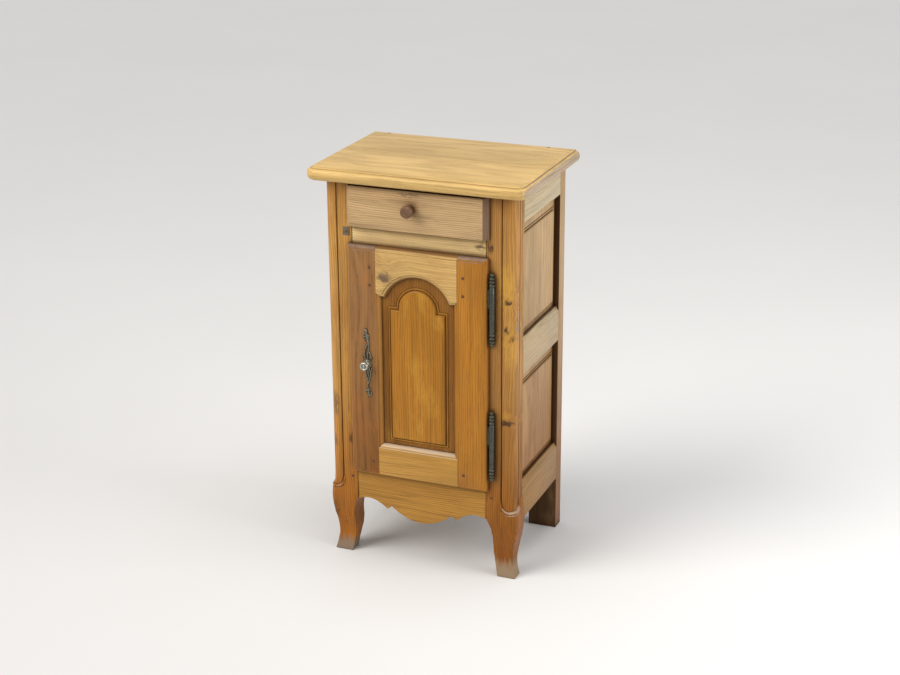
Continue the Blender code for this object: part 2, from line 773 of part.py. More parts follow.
def make_back(posts):
    haunch = TENON_HAUNCH + GROOVE_DEPTH
    head = FRAME_TOP - BACK_TOP_RAIL
    foot = BACK_BOTTOM_RAIL_FOOT + BACK_BOTTOM_RAIL
    top = back_rail("back_top_rail", (head, FRAME_TOP), (haunch, TENON_HAUNCH), posts)
    bottom = back_rail("back_bottom_rail", (BACK_BOTTOM_RAIL_FOOT, foot), (TENON_HAUNCH, haunch), posts)
    tongue = GROOVE_DEPTH - FIT
    half = REAR_OPENING_HALF + tongue
    y = (BACK_BOARD_MIDDLE - BACK_BOARD_THICKNESS / 2, BACK_BOARD_MIDDLE + BACK_BOARD_THICKNESS / 2)
    z = (foot - tongue, head + tongue)
    for name, side in SIDES.items():
        piece = box(f"back_board_{name}", (side * FIT / 2, side * half), y, z)
        finish(piece, RAW_OAK, 0.7)
    groove = box("back_groove", grown((-half, half)), grown(y), grown(z))
    cut(groove, top, bottom, *posts.values())


# ---- Inside the cupboard ------------------------------------------------------------


def make_inside():
    low = APRON_TOP - BOTTOM_BOARD_THICKNESS
    narrow = OPENING_HALF - FIT
    wide = SIDE_INNER - FIT
    rear = REAR_OPENING_HALF - FIT
    steps = (
        (narrow, FRONT + BOARD_SETBACK),
        (narrow, POST_BACK + FIT),
        (wide, POST_BACK + FIT),
        (wide, REAR_POST_FRONT - FIT),
        (rear, REAR_POST_FRONT - FIT),
        (rear, BACK_RAIL_FRONT - FIT),
    )
    outline = [*steps, *[(-x, y) for x, y in reversed(steps)]]
    finish(board("bottom_board", outline, "Z", (low, APRON_TOP)), RAW_OAK, 0.6)

    shelf_y = (POST_BACK + SHELF_END_GAP, REAR_POST_FRONT - SHELF_END_GAP)
    shelf_foot = SHELF_HEIGHT - SHELF_THICKNESS
    shelf = box("shelf", (-wide, wide), shelf_y, (shelf_foot, SHELF_HEIGHT))
    finish(shelf, RAW_OAK, 0.6)

    for name, rest in (("floor_cleat", low), ("shelf_cleat", shelf_foot)):
        for side_name, side in SIDES.items():
            x = (side * wide, side * (wide - CLEAT_WIDTH))
            z = (rest - FIT - CLEAT_HEIGHT, rest - FIT)
            finish(box(f"{name}_{side_name}", x, shelf_y, z), RAW_OAK, 0.7)


def make_runners():
    """L-section runners: a ledge under each drawer side and a guide beside it."""
    low = RUNNER_TOP - RUNNER_THICKNESS
    high = RUNNER_TOP + GUIDE_HEIGHT
    ledge = OPENING_HALF - RUNNER_WIDTH
    guide = OPENING_HALF + FIT
    outer = guide + GUIDE_WIDTH
    outline = [(ledge, low), (outer, low), (outer, high), (guide, high)]
    outline += [(guide, RUNNER_TOP), (ledge, RUNNER_TOP)]
    for name, side in SIDES.items():
        section = [(side * x, z) for x, z in outline]
        span = (POST_BACK + FIT, REAR_POST_FRONT - FIT)
        finish(board(f"drawer_runner_{name}", section, "Y", span), RAW_OAK, 0.6)


# ---- Drawer -------------------------------------------------------------------------


def make_drawer():
    half = OPENING_HALF + DRAWER_SIDE_LAP
    back = FRONT - FIT
    face = FRONT - DRAWER_FACE_PROUD
    ease = DRAWER_FACE_BEVEL / 6
    z = (DRAWER_FOOT, DRAWER_TOP)
    rings = []
    for y, inset, cut_back in (
        (back, 0.0, 0.0),
        (back - DRAWER_FACE_PROUD / 4, 0.0, 0.0),
        (face, DRAWER_FACE_BEVEL, ease),
    ):
        outline = rectangle((inset - half, half - inset), (z[0] + cut_back, z[1] - cut_back))
        rings.append(upright(outline, y))
    front = finish(loft("drawer_front", rings), HONEY_OAK)

    foot = DRAWER_BOX_FOOT
    block_back = FRONT + DRAWER_FRONT_BLOCK
    side_top = foot + DRAWER_SIDE_HEIGHT
    inside = (-DRAWER_BOX_HALF, DRAWER_BOX_HALF)
    block = box("drawer_front_block", inside, (back - DRAWER_FACE_PROUD / 2, block_back), (foot, side_top))
    combine(front, block, "UNION")

    groove_z = (foot + DRAWER_BOTTOM_RISE, foot + DRAWER_BOTTOM_RISE + DRAWER_BOTTOM_THICKNESS)
    reach = DRAWER_GROOVE_DEPTH - FIT
    inner = DRAWER_BOX_HALF - DRAWER_BOARD
    bottom_x = (-inner - reach, inner + reach)
    bottom_y = (block_back - reach, DRAWER_BACK)
    bottom = finish(box("drawer_bottom", bottom_x, bottom_y, groove_z), RAW_OAK, 0.6)
    groove = box("drawer_groove", grown(bottom_x), grown(bottom_y), grown(groove_z))
    cut(groove, front)

    pieces = [front, bottom, block, groove]
    for name, side in SIDES.items():
        x = (side * inner, side * DRAWER_BOX_HALF)
        board_y = (block_back + FIT, DRAWER_BACK)
        piece = box(f"drawer_side_{name}", x, board_y, (foot, side_top))
        cut(groove, piece)
        pieces.append(finish(piece, RAW_OAK, 0.6))
    rear_x = (FIT - inner, inner - FIT)
    rear_y = (DRAWER_BACK - DRAWER_BOARD, DRAWER_BACK)
    rear = box("drawer_back", rear_x, rear_y, (groove_z[1] + FIT, side_top - DRAWER_BOARD / 2))
    pieces.append(finish(rear, RAW_OAK, 0.6))
    pieces.extend(make_drawer_knob(front, face))
    return pieces


def make_drawer_knob(front, face):
    """A turned wooden knob with a spigot glued into the drawer front."""
    place = (DRAWER_KNOB_X, face, DRAWER_FOOT + DRAWER_KNOB_RISE)
    spigot = DRAWER_FACE_PROUD + DRAWER_FRONT_BLOCK / 2
    long = DRAWER_KNOB_LENGTH
    wide = DRAWER_KNOB_RADIUS
    profile = [
        (0.0, long),
        (wide * 0.80, long - 0.0005),
        (wide, long - 0.0035),
        (wide * 0.98, long * 0.62),
        (wide * 0.80, long * 0.42),
        (DRAWER_KNOB_STEM, long * 0.26),
        (DRAWER_KNOB_STEM * 1.15, FIT),
        (DRAWER_KNOB_SPIGOT, FIT),
        (DRAWER_KNOB_SPIGOT, -spigot),
        (0.0, -spigot),
    ]
    knob = finish(turned("drawer_knob", profile, place, "-Y"), BROWN_OAK, 0.35)
    start = (place[0], face - FIT, place[2])
    hole = rod("drawer_knob_hole", DRAWER_KNOB_SPIGOT + FIT, start, spigot + 2 * FIT, "Y", 16)
    cut(hole, front)
    return [knob, hole]


# ---- Door ---------------------------------------------------------------------------


def door_blank():
    """The whole door's outer shape: an overlay lip with a moulded edge."""
    rings = []
    back = FRONT - FIT
    face = FRONT - DOOR_PROUD
    steps = [(back, 0.0), (face + DOOR_LIP_DEPTH, 0.0)]
    for step in range(1, 5):
        turn = math.pi / 2 * step / 4
        depth = DOOR_LIP_DEPTH * math.sin(turn)
        steps.append((face + DOOR_LIP_DEPTH - depth, DOOR_LIP_WIDTH * (1 - math.cos(turn))))
    for y, inset in steps:
        outline = rectangle(
            (inset - DOOR_HALF, DOOR_HALF - inset), (DOOR_FOOT + inset, DOOR_TOP - inset)
        )
        rings.append(upright(outline, y))
    return loft("door_blank", rings)


def door_cutter():
    """The flared, arched opening of the door frame."""
    face = FRONT - DOOR_PROUD
    rings = [upright(door_opening(), FRONT + 2 * DOOR_REBATE_DEPTH)]
    for step in range(5):
        turn = math.pi / 2 * step / 4
        y = face + STICKING_DEPTH * (1 - math.sin(turn))
        rings.append(upright(door_opening(STICKING_WIDTH * (1 - math.cos(turn))), y))
    rings.append(upright(door_opening(STICKING_WIDTH), face - STICKING_DEPTH))
    return loft("door_opening_cutter", rings)


def frame_outlines():
    """The four door members' outlines, meeting at butt joints with mitred mouldings."""
    outer = DOOR_HALF + FIT
    head = DOOR_TOP + FIT
    foot = DOOR_FOOT - FIT
    joint = STILE_JOINT
    inner = DOOR_OPENING_HALF - STICKING_WIDTH
    sill = DOOR_OPENING_FOOT - STICKING_WIDTH
    lintel = DOOR_SHOULDER + STICKING_WIDTH
    run = 2 * STICKING_WIDTH
    stile = [
        (outer, foot),
        (outer, head),
        (joint, head),
        (joint, lintel),
        (inner, lintel - run),
        (inner, sill + run),
        (joint, sill),
        (joint, foot),
    ]
    joint -= FIT
    top = [(-joint, lintel), (-inner, lintel - run + FIT), (inner, lintel - run + FIT), (joint, lintel)]
    top += [(joint, head), (-joint, head)]
    bottom = [(joint, sill), (inner, sill + run - FIT), (-inner, sill + run - FIT), (-joint, sill)]
    bottom += [(-joint, foot), (joint, foot)]
    left = [(-x, z) for x, z in reversed(stile)]
    return {
        "door_stile_left": left,
        "door_stile_right": stile,
        "door_top_rail": top,
        "door_bottom_rail": bottom,
    }


def door_tenons(z):
    """The tenons at both ends of a door rail, in the plane of the panel's tongue."""
    middle = FRONT + DOOR_PANEL_BACK - DOOR_PANEL_TONGUE / 2
    y = (middle - TENON_THICKNESS / 2, middle + TENON_THICKNESS / 2)
    root = STILE_JOINT - DOOR_TENON_LENGTH / 2
    reach = STILE_JOINT + DOOR_TENON_LENGTH
    return {name: ((side * root, side * reach), y, z) for name, side in SIDES.items()}


def make_door_frame():
    blank = door_blank()
    rebate_half = OPENING_HALF - SLIDING
    rebate_z = (APRON_TOP + SLIDING, RAIL_FOOT - SLIDING)
    rebate_y = (FRONT - DOOR_PROUD / 2, FRONT + DOOR_REBATE_DEPTH)
    rebate = box("door_rebate", (-rebate_half, rebate_half), rebate_y, rebate_z)
    combine(blank, rebate, "UNION")
    opening = door_cutter()
    members = {}
    for name, outline in frame_outlines().items():
        span = (FRONT - DOOR_PROUD - FIT, FRONT + DOOR_REBATE_DEPTH + FIT)
        member = board(name, outline, "Y", span)
        combine(member, blank, "INTERSECT")
        cut(opening, member)
        members[name] = finish(member, BROWN_OAK if name.endswith("left") else HONEY_OAK)
    return members, [blank, rebate, opening]


def make_door_joints(members):
    """Tenons, mortises and pegs of the door frame."""
    top_z = (DOOR_SHOULDER + GROOVE_DEPTH + TENON_HAUNCH, DOOR_TOP - 2 * TENON_HAUNCH)
    bottom_z = (DOOR_FOOT + 2 * TENON_HAUNCH, DOOR_OPENING_FOOT - GROOVE_DEPTH - TENON_HAUNCH)
    helpers = []
    pegs = []
    rails = {
        "door_top_rail": (top_z, [DOOR_TOP - drop for drop in DOOR_TOP_PEGS]),
        "door_bottom_rail": (bottom_z, [DOOR_FOOT + DOOR_BOTTOM_PEG]),
    }
    for rail_name, (z, peg_heights) in rails.items():
        rail = members[rail_name]
        tenons = door_tenons(z)
        tenoned(rail, tenons.values())
        for side_name, spans in tenons.items():
            stile = members[f"door_stile_{side_name}"]
            mortise(stile, f"{rail_name}_{side_name}", spans)
            x = SIDES[side_name] * (STILE_JOINT + DOOR_PEG_FROM_JOINT)
            for number, height in enumerate(peg_heights):
                start = (x, FRONT - DOOR_PROUD - PEG_PROUD, height)
                hole = f"{rail_name}_{side_name}_peg_hole_{number}"
                peg_hole(hole, start, "Y", PEG_LENGTH, stile, rail)
                name = f"{rail_name}_peg_{side_name}_{number + 1}"
                pegs.append(finish(rod(name, PEG_RADIUS, start, PEG_LENGTH, "Y"), DARK_PEG))
    for member in members.values():
        helpers.extend(modifier.object for modifier in member.modifiers)
    return pegs, helpers


def make_door_panel(members):
    """The arched, fielded panel and its groove in the four members."""
    back = FRONT + DOOR_PANEL_BACK
    front = back - DOOR_PANEL_TONGUE
    tongue = GROOVE_DEPTH - FIT
    edge = door_opening(tongue)
    rings = [
        upright(edge, back),
        upright(edge, front),
        upright(door_field(FIELD_BEVEL), front),
        upright(door_field(FIELD_BEVEL / 2), front - DOOR_FIELD_PROUD * 0.8),
        upright(door_field(), front - DOOR_FIELD_PROUD),
    ]
    panel = finish(loft("door_panel", rings), HONEY_OAK, 0.35)
    groove = loft(
        "door_panel_groove",
        [upright(door_opening(tongue + FIT), y) for y in (back + FIT, front - FIT)],
    )
    cut(groove, *members.values())
    return panel, groove


# ---- Hinges -------------------------------------------------------------------------


def finial_profile(tip, base, radius):
    """(radius, height) from the tip to the base of a turned hinge end: button, neck, two rings."""
    run = base - tip
    shares = (
        (0.00, 0.00),
        (0.62, 0.03),
        (0.80, 0.12),
        (0.60, 0.24),
        (0.50, 0.34),
        (1.00, 0.42),
        (1.00, 0.52),
        (0.66, 0.58),
        (0.66, 0.66),
        (1.08, 0.72),
        (1.08, 0.84),
        (0.86, 0.90),
        (1.00, 1.00),
    )
    return [(radius * width, tip + run * share) for width, share in shares]


def make_hinge(level, post, stile):
    """Lower half with its pin, let into the post; upper half, let into the door's edge."""
    middle = HINGE_MIDDLES[level]
    place = (HINGE_X, HINGE_Y, middle)
    barrel_end = HINGE_HALF - HINGE_FINIAL
    lower = [
        (0.0, HINGE_PIN_REACH),
        (HINGE_PIN_RADIUS * 0.7, HINGE_PIN_REACH),
        (HINGE_PIN_RADIUS, HINGE_PIN_REACH - HINGE_PIN_RADIUS),
        (HINGE_PIN_RADIUS, -FIT),
        (HINGE_RADIUS, -FIT),
        *reversed(finial_profile(-HINGE_HALF, -barrel_end, HINGE_RADIUS)),
    ]
    bore = HINGE_PIN_RADIUS + TURNING
    bore_end = HINGE_PIN_REACH + TURNING
    upper = [
        *finial_profile(HINGE_HALF, barrel_end, HINGE_RADIUS),
        (HINGE_RADIUS, 0.0),
        (bore, 0.0),
        (bore, bore_end),
        (0.0, bore_end + bore / 2),
    ]
    post_half = turned(f"{level}_hinge_post_half", lower, place, sides=HINGE_SIDES)
    door_half = turned(f"{level}_hinge_door_half", upper, place, sides=HINGE_SIDES)
    leaf_half = HINGE_LEAF_THICKNESS / 2
    inner = HINGE_PIN_RADIUS + 2 * TURNING
    z = (middle - barrel_end + HINGE_LEAF_MARGIN, middle - HINGE_LEAF_MARGIN)
    x = (HINGE_X - leaf_half, HINGE_X + leaf_half)
    post_y = (HINGE_Y + inner, HINGE_Y + HINGE_RADIUS + HINGE_POST_LEAF)
    combine(post_half, box(f"{level}_post_leaf", x, post_y, z), "UNION")
    slot = box(f"{level}_post_slot", grown(x), grown((FRONT, post_y[1])), grown(z))
    cut(slot, post)
    z = (middle + HINGE_LEAF_MARGIN, middle + barrel_end - HINGE_LEAF_MARGIN)
    y = (HINGE_Y - leaf_half, HINGE_Y + leaf_half)
    door_x = (HINGE_X - HINGE_RADIUS - HINGE_DOOR_LEAF, HINGE_X - inner)
    leaf = box(f"{level}_door_leaf", door_x, y, z)
    combine(door_half, leaf, "UNION")
    door_slot = box(f"{level}_door_slot", grown((door_x[0], DOOR_HALF)), grown(y), grown(z))
    cut(door_slot, stile)
    for piece in (post_half, door_half):
        finish(piece, DARK_IRON, 0.45, 0.9)
    return [door_half, leaf, door_slot]


# ---- Door knob and latch ------------------------------------------------------------


def plate_outline():
    """A long pierced-style plate: scrolled ends, slim arms and a wide waist at the knob."""
    right = []
    left = []
    for step in range(PLATE_STEPS + 1):
        along = -1 + 2 * step / PLATE_STEPS
        distance = abs(along)
        swell = math.exp(-((distance / 0.17) ** 2))
        scroll = math.exp(-(((distance - 0.86) / 0.12) ** 2))
        leaf = math.exp(-(((distance - 0.45) / 0.13) ** 2))
        rounding = math.sqrt(max(0.0, 1 - distance**8)) + 0.08
        width = PLATE_HALF_WIDTH * min(1.0, 0.34 + 0.66 * swell + 0.42 * scroll + 0.22 * leaf)
        sway = 0.3 * PLATE_HALF_WIDTH * math.sin(along * 2.4 * math.pi)
        z = KNOB_HEIGHT + PLATE_HALF_LENGTH * along
        right.append((KNOB_X + sway + width * rounding, z))
        left.append((KNOB_X + sway - width * rounding, z))
    return [*right, *reversed(left)]


def make_knob(stile, post):
    face = FRONT - DOOR_PROUD
    plate_face = face - FIT - PLATE_THICKNESS
    plate = board("knob_plate", plate_outline(), "Y", (plate_face, face - FIT))
    finish(plate, AGED_PEWTER, 0.4, 0.9)

    place = (KNOB_X, plate_face - FIT, KNOB_HEIGHT)
    wide = KNOB_RADIUS
    long = KNOB_LENGTH - FIT
    profile = [
        (0.0, long),
        (wide * 0.30, long - 0.0004),
        (wide * 0.42, long - 0.0018),
        (wide * 0.62, long - 0.0014),
        (wide * 0.92, long - 0.0022),
        (wide, long - 0.0045),
        (wide * 0.88, long - 0.0080),
        (wide * 0.50, long - 0.0105),
        (wide * 0.42, long * 0.30),
        (wide * 0.62, long * 0.14),
        (wide * 0.66, 0.0),
        (0.0, 0.0),
    ]
    knob = finish(turned("door_knob", profile, place, "-Y"), AGED_PEWTER, 0.35, 0.9)

    tongue_front = FRONT + DOOR_REBATE_DEPTH + TONGUE_CLEARANCE
    start = (KNOB_X, plate_face, KNOB_HEIGHT)
    length = tongue_front + TONGUE_THICKNESS - plate_face
    tongue = latch_tongue(tongue_front)
    spindle = rod("latch_spindle", SPINDLE_RADIUS, start, length, "Y", 12)
    combine(tongue, spindle, "UNION")
    finish(tongue, DARK_IRON, 0.5, 0.9)
    bore_start = (KNOB_X, plate_face - FIT, KNOB_HEIGHT)
    bore = rod("spindle_bore", SPINDLE_RADIUS + TURNING, bore_start, length, "Y", 16)
    cut(bore, stile, plate)
    make_strike(post, tongue_front)
    return [plate, bore], [knob, tongue, spindle]


def latch_tongue(front):
    """The latch tongue: a flat bar with round ends, hanging from the spindle."""
    half = TONGUE_WIDTH / 2
    foot = KNOB_HEIGHT - TONGUE_LENGTH + half
    head = arc((KNOB_X, KNOB_HEIGHT), half, 0.0, math.pi, 8)
    toe = arc((KNOB_X, foot), half, math.pi, 2 * math.pi, 8)
    return board("latch_tongue", [*head, *toe], "Y", (front, front + TONGUE_THICKNESS))


def make_strike(post, tongue_front):
    """The plate on the left post that the turned tongue enters, and the mortise behind it."""
    reach = KNOB_X - TONGUE_LENGTH - 2 * SLIDING
    face = -OPENING_HALF
    half = TONGUE_WIDTH / 2 + SLIDING
    slot_z = (KNOB_HEIGHT - TONGUE_LENGTH, KNOB_HEIGHT + half)
    slot_y = (tongue_front - TONGUE_CLEARANCE, tongue_front + TONGUE_THICKNESS + TONGUE_CLEARANCE)
    slot = box("strike_slot", (reach, face + SLIDING), slot_y, slot_z)
    x = (face - STRIKE_THICKNESS, face)
    y = (slot_y[0] - STRIKE_BORDER / 2, slot_y[1] + STRIKE_BORDER)
    z = (slot_z[0] - STRIKE_BORDER, slot_z[1] + STRIKE_BORDER)
    strike = box("latch_strike", x, y, z)
    cut(slot, strike, post)
    recess = box("strike_recess", grown(x), grown(y), grown(z))
    cut(recess, post)
    finish(strike, DARK_IRON, 0.5, 0.9)


# ---- Assembly -----------------------------------------------------------------------


def main():
    front_posts = {name: make_front_post(name) for name in SIDES}
    rear_posts = {name: make_rear_post(name) for name in SIDES}
    make_top()
    make_front_frame(front_posts)
    for name in SIDES:
        make_side(name, front_posts[name], rear_posts[name])
    make_back(rear_posts)
    make_inside()
    make_runners()

    drawer_pieces = make_drawer()
    drawer_middle = (DRAWER_TOP + DRAWER_FOOT) / 2
    ride(joint_empty("drawer_slide", (0.0, FRONT, drawer_middle)), drawer_pieces)

    members, frame_helpers = make_door_frame()
    pegs, joint_helpers = make_door_joints(members)
    panel, groove = make_door_panel(members)
    right = members["door_stile_right"]
    left = members["door_stile_left"]
    hinge_pieces = []
    for level in HINGE_MIDDLES:
        hinge_pieces += make_hinge(level, front_posts["right"], right)
    plate_pieces, knob_pieces = make_knob(left, front_posts["left"])
    door_pieces = {*members.values(), *frame_helpers, *joint_helpers, *pegs, panel, groove}
    door_pieces |= {*hinge_pieces, *plate_pieces}
    ride(joint_empty("door_hinge", (HINGE_X, HINGE_Y, (DOOR_TOP + DOOR_FOOT) / 2)), door_pieces)
    ride(joint_empty("knob_spindle", (KNOB_X, FRONT, KNOB_HEIGHT)), knob_pieces)


main()
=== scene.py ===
"""Looks of the small provincial cupboard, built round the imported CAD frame.

Metres, +Z up, front towards -Y, the floor at Z = 0.
"""

import json
import math

import bmesh
import bpy
from mathutils import Matrix, Vector


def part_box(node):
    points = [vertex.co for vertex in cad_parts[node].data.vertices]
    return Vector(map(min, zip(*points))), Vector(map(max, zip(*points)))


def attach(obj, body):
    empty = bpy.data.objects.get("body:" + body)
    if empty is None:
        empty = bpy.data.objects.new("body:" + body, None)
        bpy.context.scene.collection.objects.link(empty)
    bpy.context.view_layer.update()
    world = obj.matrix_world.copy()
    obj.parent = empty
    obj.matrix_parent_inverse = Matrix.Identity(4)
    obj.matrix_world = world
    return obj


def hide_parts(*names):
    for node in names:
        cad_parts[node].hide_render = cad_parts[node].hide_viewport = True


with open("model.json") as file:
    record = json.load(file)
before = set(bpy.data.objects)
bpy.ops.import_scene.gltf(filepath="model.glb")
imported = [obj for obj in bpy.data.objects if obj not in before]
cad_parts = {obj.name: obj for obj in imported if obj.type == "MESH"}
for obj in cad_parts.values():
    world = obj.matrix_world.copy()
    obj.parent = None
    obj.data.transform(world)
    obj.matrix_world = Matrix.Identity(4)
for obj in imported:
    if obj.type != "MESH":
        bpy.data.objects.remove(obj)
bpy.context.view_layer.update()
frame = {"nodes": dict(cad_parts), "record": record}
NODES = frame["nodes"]
SCENE = bpy.context.scene
SIDES = {"left": -1, "right": 1}
BODY_OF = {
    node: body
    for body, members in frame["record"]["behaviour"]["bodies"].items()
    for node in members
}

# ---- Sizes that come from the frame ----

POST_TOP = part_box("front_post_right")[1].z
TOP_LOW, TOP_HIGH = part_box("top_front_board")
SEAM = (TOP_HIGH.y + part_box("top_rear_board")[0].y) / 2
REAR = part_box("top_rear_board")[1].y
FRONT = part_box("drawer_rail")[0].y
HALF_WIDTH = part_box("rear_post_right")[1].x
TENON = 0.024
FIT = 0.0003
OPENING_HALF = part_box("top_front_rail")[1].x - TENON + FIT
POST_DEPTH = 0.049
PANEL_LOW, PANEL_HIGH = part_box("door_panel")
DOOR_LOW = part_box("door_stile_left")[0]
DOOR_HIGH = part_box("door_stile_right")[1]
DOOR_FACE = DOOR_LOW.y
DOOR_BACK = DOOR_HIGH.y
KNOB_X = (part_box("latch_tongue")[0].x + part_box("latch_tongue")[1].x) / 2
KNOB_Z = (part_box("door_knob")[0].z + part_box("door_knob")[1].z) / 2


# ---- Node graphs ----

MID_GREY = (0.5, 0.5, 0.5)
RAGGED = 0.022


def dial(node, values):
    for name, value in values.items():
        node.inputs[name].default_value = value


class Graph:
    """Short calls for building one material's nodes."""

    def __init__(self, name):
        self.material = bpy.data.materials.new(name)
        self.material.use_nodes = True
        self.tree = self.material.node_tree
        self.shader = self.tree.nodes["Principled BSDF"]
        self.place = self.add("ShaderNodeTexCoord").outputs["Object"]

    def add(self, kind, **settings):
        node = self.tree.nodes.new(kind)
        for name, value in settings.items():
            setattr(node, name, value)
        return node

    def feed(self, socket, value):
        if isinstance(value, bpy.types.NodeSocket):
            self.tree.links.new(value, socket)
        else:
            socket.default_value = value

    def math(self, operation, *values):
        node = self.add("ShaderNodeMath", operation=operation)
        for socket, value in zip(node.inputs, values):
            self.feed(socket, value)
        return node.outputs[0]

    def times(self, first, second):
        return self.math("MULTIPLY", first, second)

    def plus(self, first, second):
        return self.math("ADD", first, second)

    def vector(self, operation, *values):
        node = self.add("ShaderNodeVectorMath", operation=operation)
        for socket, value in zip(node.inputs, values):
            self.feed(socket, value)
        return node.outputs["Value" if operation == "LENGTH" else "Vector"]

    def noise(self, place, scale, detail, rough=0.5, colour=False):
        node = self.add("ShaderNodeTexNoise")
        self.feed(node.inputs["Vector"], place)
        dial(node, {"Scale": scale, "Detail": detail, "Roughness": rough})
        return node.outputs["Color" if colour else "Fac"]

    def band(self, value, low, high):
        """0 under low, 1 over high, smooth between. low may be over high."""
        node = self.add("ShaderNodeMapRange", interpolation_type="SMOOTHSTEP")
        self.feed(node.inputs["Value"], value)
        if low > high:
            low, high = high, low
            dial(node, {"To Min": 1.0, "To Max": 0.0})
        dial(node, {"From Min": low, "From Max": high})
        return node.outputs["Result"]

    def mix(self, share, first, second, blend="MIX"):
        node = self.add("ShaderNodeMix", data_type="RGBA", blend_type=blend)
        self.feed(node.inputs["Factor"], share)
        self.feed(node.inputs[6], first if not isinstance(first, tuple) else (*first, 1.0))
        self.feed(node.inputs[7], second if not isinstance(second, tuple) else (*second, 1.0))
        return node.outputs[2]

    def scaled(self, scale, place=None, shift=(0.0, 0.0, 0.0)):
        node = self.add("ShaderNodeMapping")
        self.feed(node.inputs["Vector"], place or self.place)
        dial(node, {"Scale": scale, "Location": shift})
        return node.outputs["Vector"]

    def spot(self, centre, size, edge=0.75):
        """1 inside an egg-shaped patch of these radii, fading over its edge."""
        ragged = self.vector("SUBTRACT", self.noise(self.place, 70.0, 3.0, 0.6, colour=True), MID_GREY)
        ragged = self.vector("MULTIPLY", ragged, (RAGGED,) * 3)
        reach = self.vector("SUBTRACT", self.vector("ADD", self.place, ragged), centre)
        reach = self.vector("MULTIPLY", reach, tuple(1 / radius for radius in size))
        return self.band(self.vector("LENGTH", reach), 1.0, 1.0 - edge)

    def bump(self, height, distance, strength, normal=None):
        node = self.add("ShaderNodeBump")
        dial(node, {"Strength": strength, "Distance": distance})
        self.feed(node.inputs["Height"], height)
        if normal is not None:
            self.feed(node.inputs["Normal"], normal)
        return node.outputs["Normal"]

    def tint(self, tone, mask, strength, mark):
        return self.mix(self.times(mask, strength), tone, mark)

    def darkened(self, tone, factor):
        return self.mix(1.0, tone, factor, "MULTIPLY")

    def crevice(self, reach, local=False):
        """Ambient occlusion: 1 in the open, less in corners within this reach."""
        node = self.add("ShaderNodeAmbientOcclusion", samples=6, only_local=local)
        node.inputs["Distance"].default_value = reach
        return node.outputs["AO"]

    def split(self, place):
        node = self.add("ShaderNodeSeparateXYZ")
        self.feed(node.inputs[0], place)
        return node.outputs


def shade(colour, factor):
    return tuple(channel * factor for channel in colour)


AXES = {"X": 0, "Y": 1, "Z": 2}
HEART = (0.11, 0.07, 0.09)
STRONG_KNOT = 0.8
PORE_SHARE = 0.55
# Painted shade: the darkening factor and the near-black laid into corners and between parts.
WIDE_SHADE_FACTOR = (0.50, 0.38, 0.26)
CREVICE_SHADE_TONE = (0.045, 0.018, 0.005)
WAX_AND_WARM_REFLECTION = {
    "Coat Roughness": 0.22,
    "Specular IOR Level": 0.34,
    # Painted reflection: the specular tint warms the reflections, standing in for a warm room.
    "Specular Tint": (1.0, 0.74, 0.42, 1.0),
}


def stretched(axis, along, across=1.0):
    scale = [across] * 3
    scale[AXES[axis]] = along
    return tuple(scale)


def grown(g, axis, rings, seed, place, shift):
    """The growth rings, long streaks and fine pores of a board, each 0 to 1."""
    wave = g.add("ShaderNodeTexWave", wave_type="RINGS", rings_direction=axis)
    centre = [offset + 0.03 * math.sin(2.1 * seed + index) for index, offset in enumerate(HEART)]
    centre[AXES[axis]] = 0.0
    g.feed(wave.inputs["Vector"], g.scaled(stretched(axis, 0.22), place, tuple(centre)))
    dial(wave, {"Scale": rings / 3.14, "Distortion": 2.6, "Detail": 3.0, "Detail Scale": 1.1})
    ring = g.math("POWER", wave.outputs["Fac"], 1.7)
    streak = g.noise(g.scaled(stretched(axis, 3.0, 260.0), place, shift), 1.0, 4.0, 0.62)
    fine = g.noise(g.scaled(stretched(axis, 14.0, 1500.0), place, shift), 1.0, 2.0, 0.6)
    return ring, streak, g.times(g.band(fine, 0.56, 0.68), g.band(ring, 0.15, 0.75))


def bent_round_knots(g, axis, shift, spots):
    """Object coordinates, slightly bent, and pushed aside by each strong knot."""
    low = g.noise(g.scaled(stretched(axis, 1.0, 4.0), shift=shift), 2.6, 2.0, colour=True)
    bend = g.vector("MULTIPLY", g.vector("SUBTRACT", low, MID_GREY), (0.030, 0.030, 0.030))
    place = g.vector("ADD", g.place, bend)
    for centre, size, _, strength in spots:
        if strength > STRONG_KNOT:
            push = g.vector("MULTIPLY", g.vector("SUBTRACT", g.place, centre), (0.9, 0.9, 0.9))
            mask = g.add("ShaderNodeVectorMath", operation="SCALE")
            g.feed(mask.inputs[0], push)
            g.feed(mask.inputs["Scale"], g.spot(centre, tuple(3.2 * radius for radius in size), 1.0))
            place = g.vector("ADD", place, mask.outputs["Vector"])
    return place


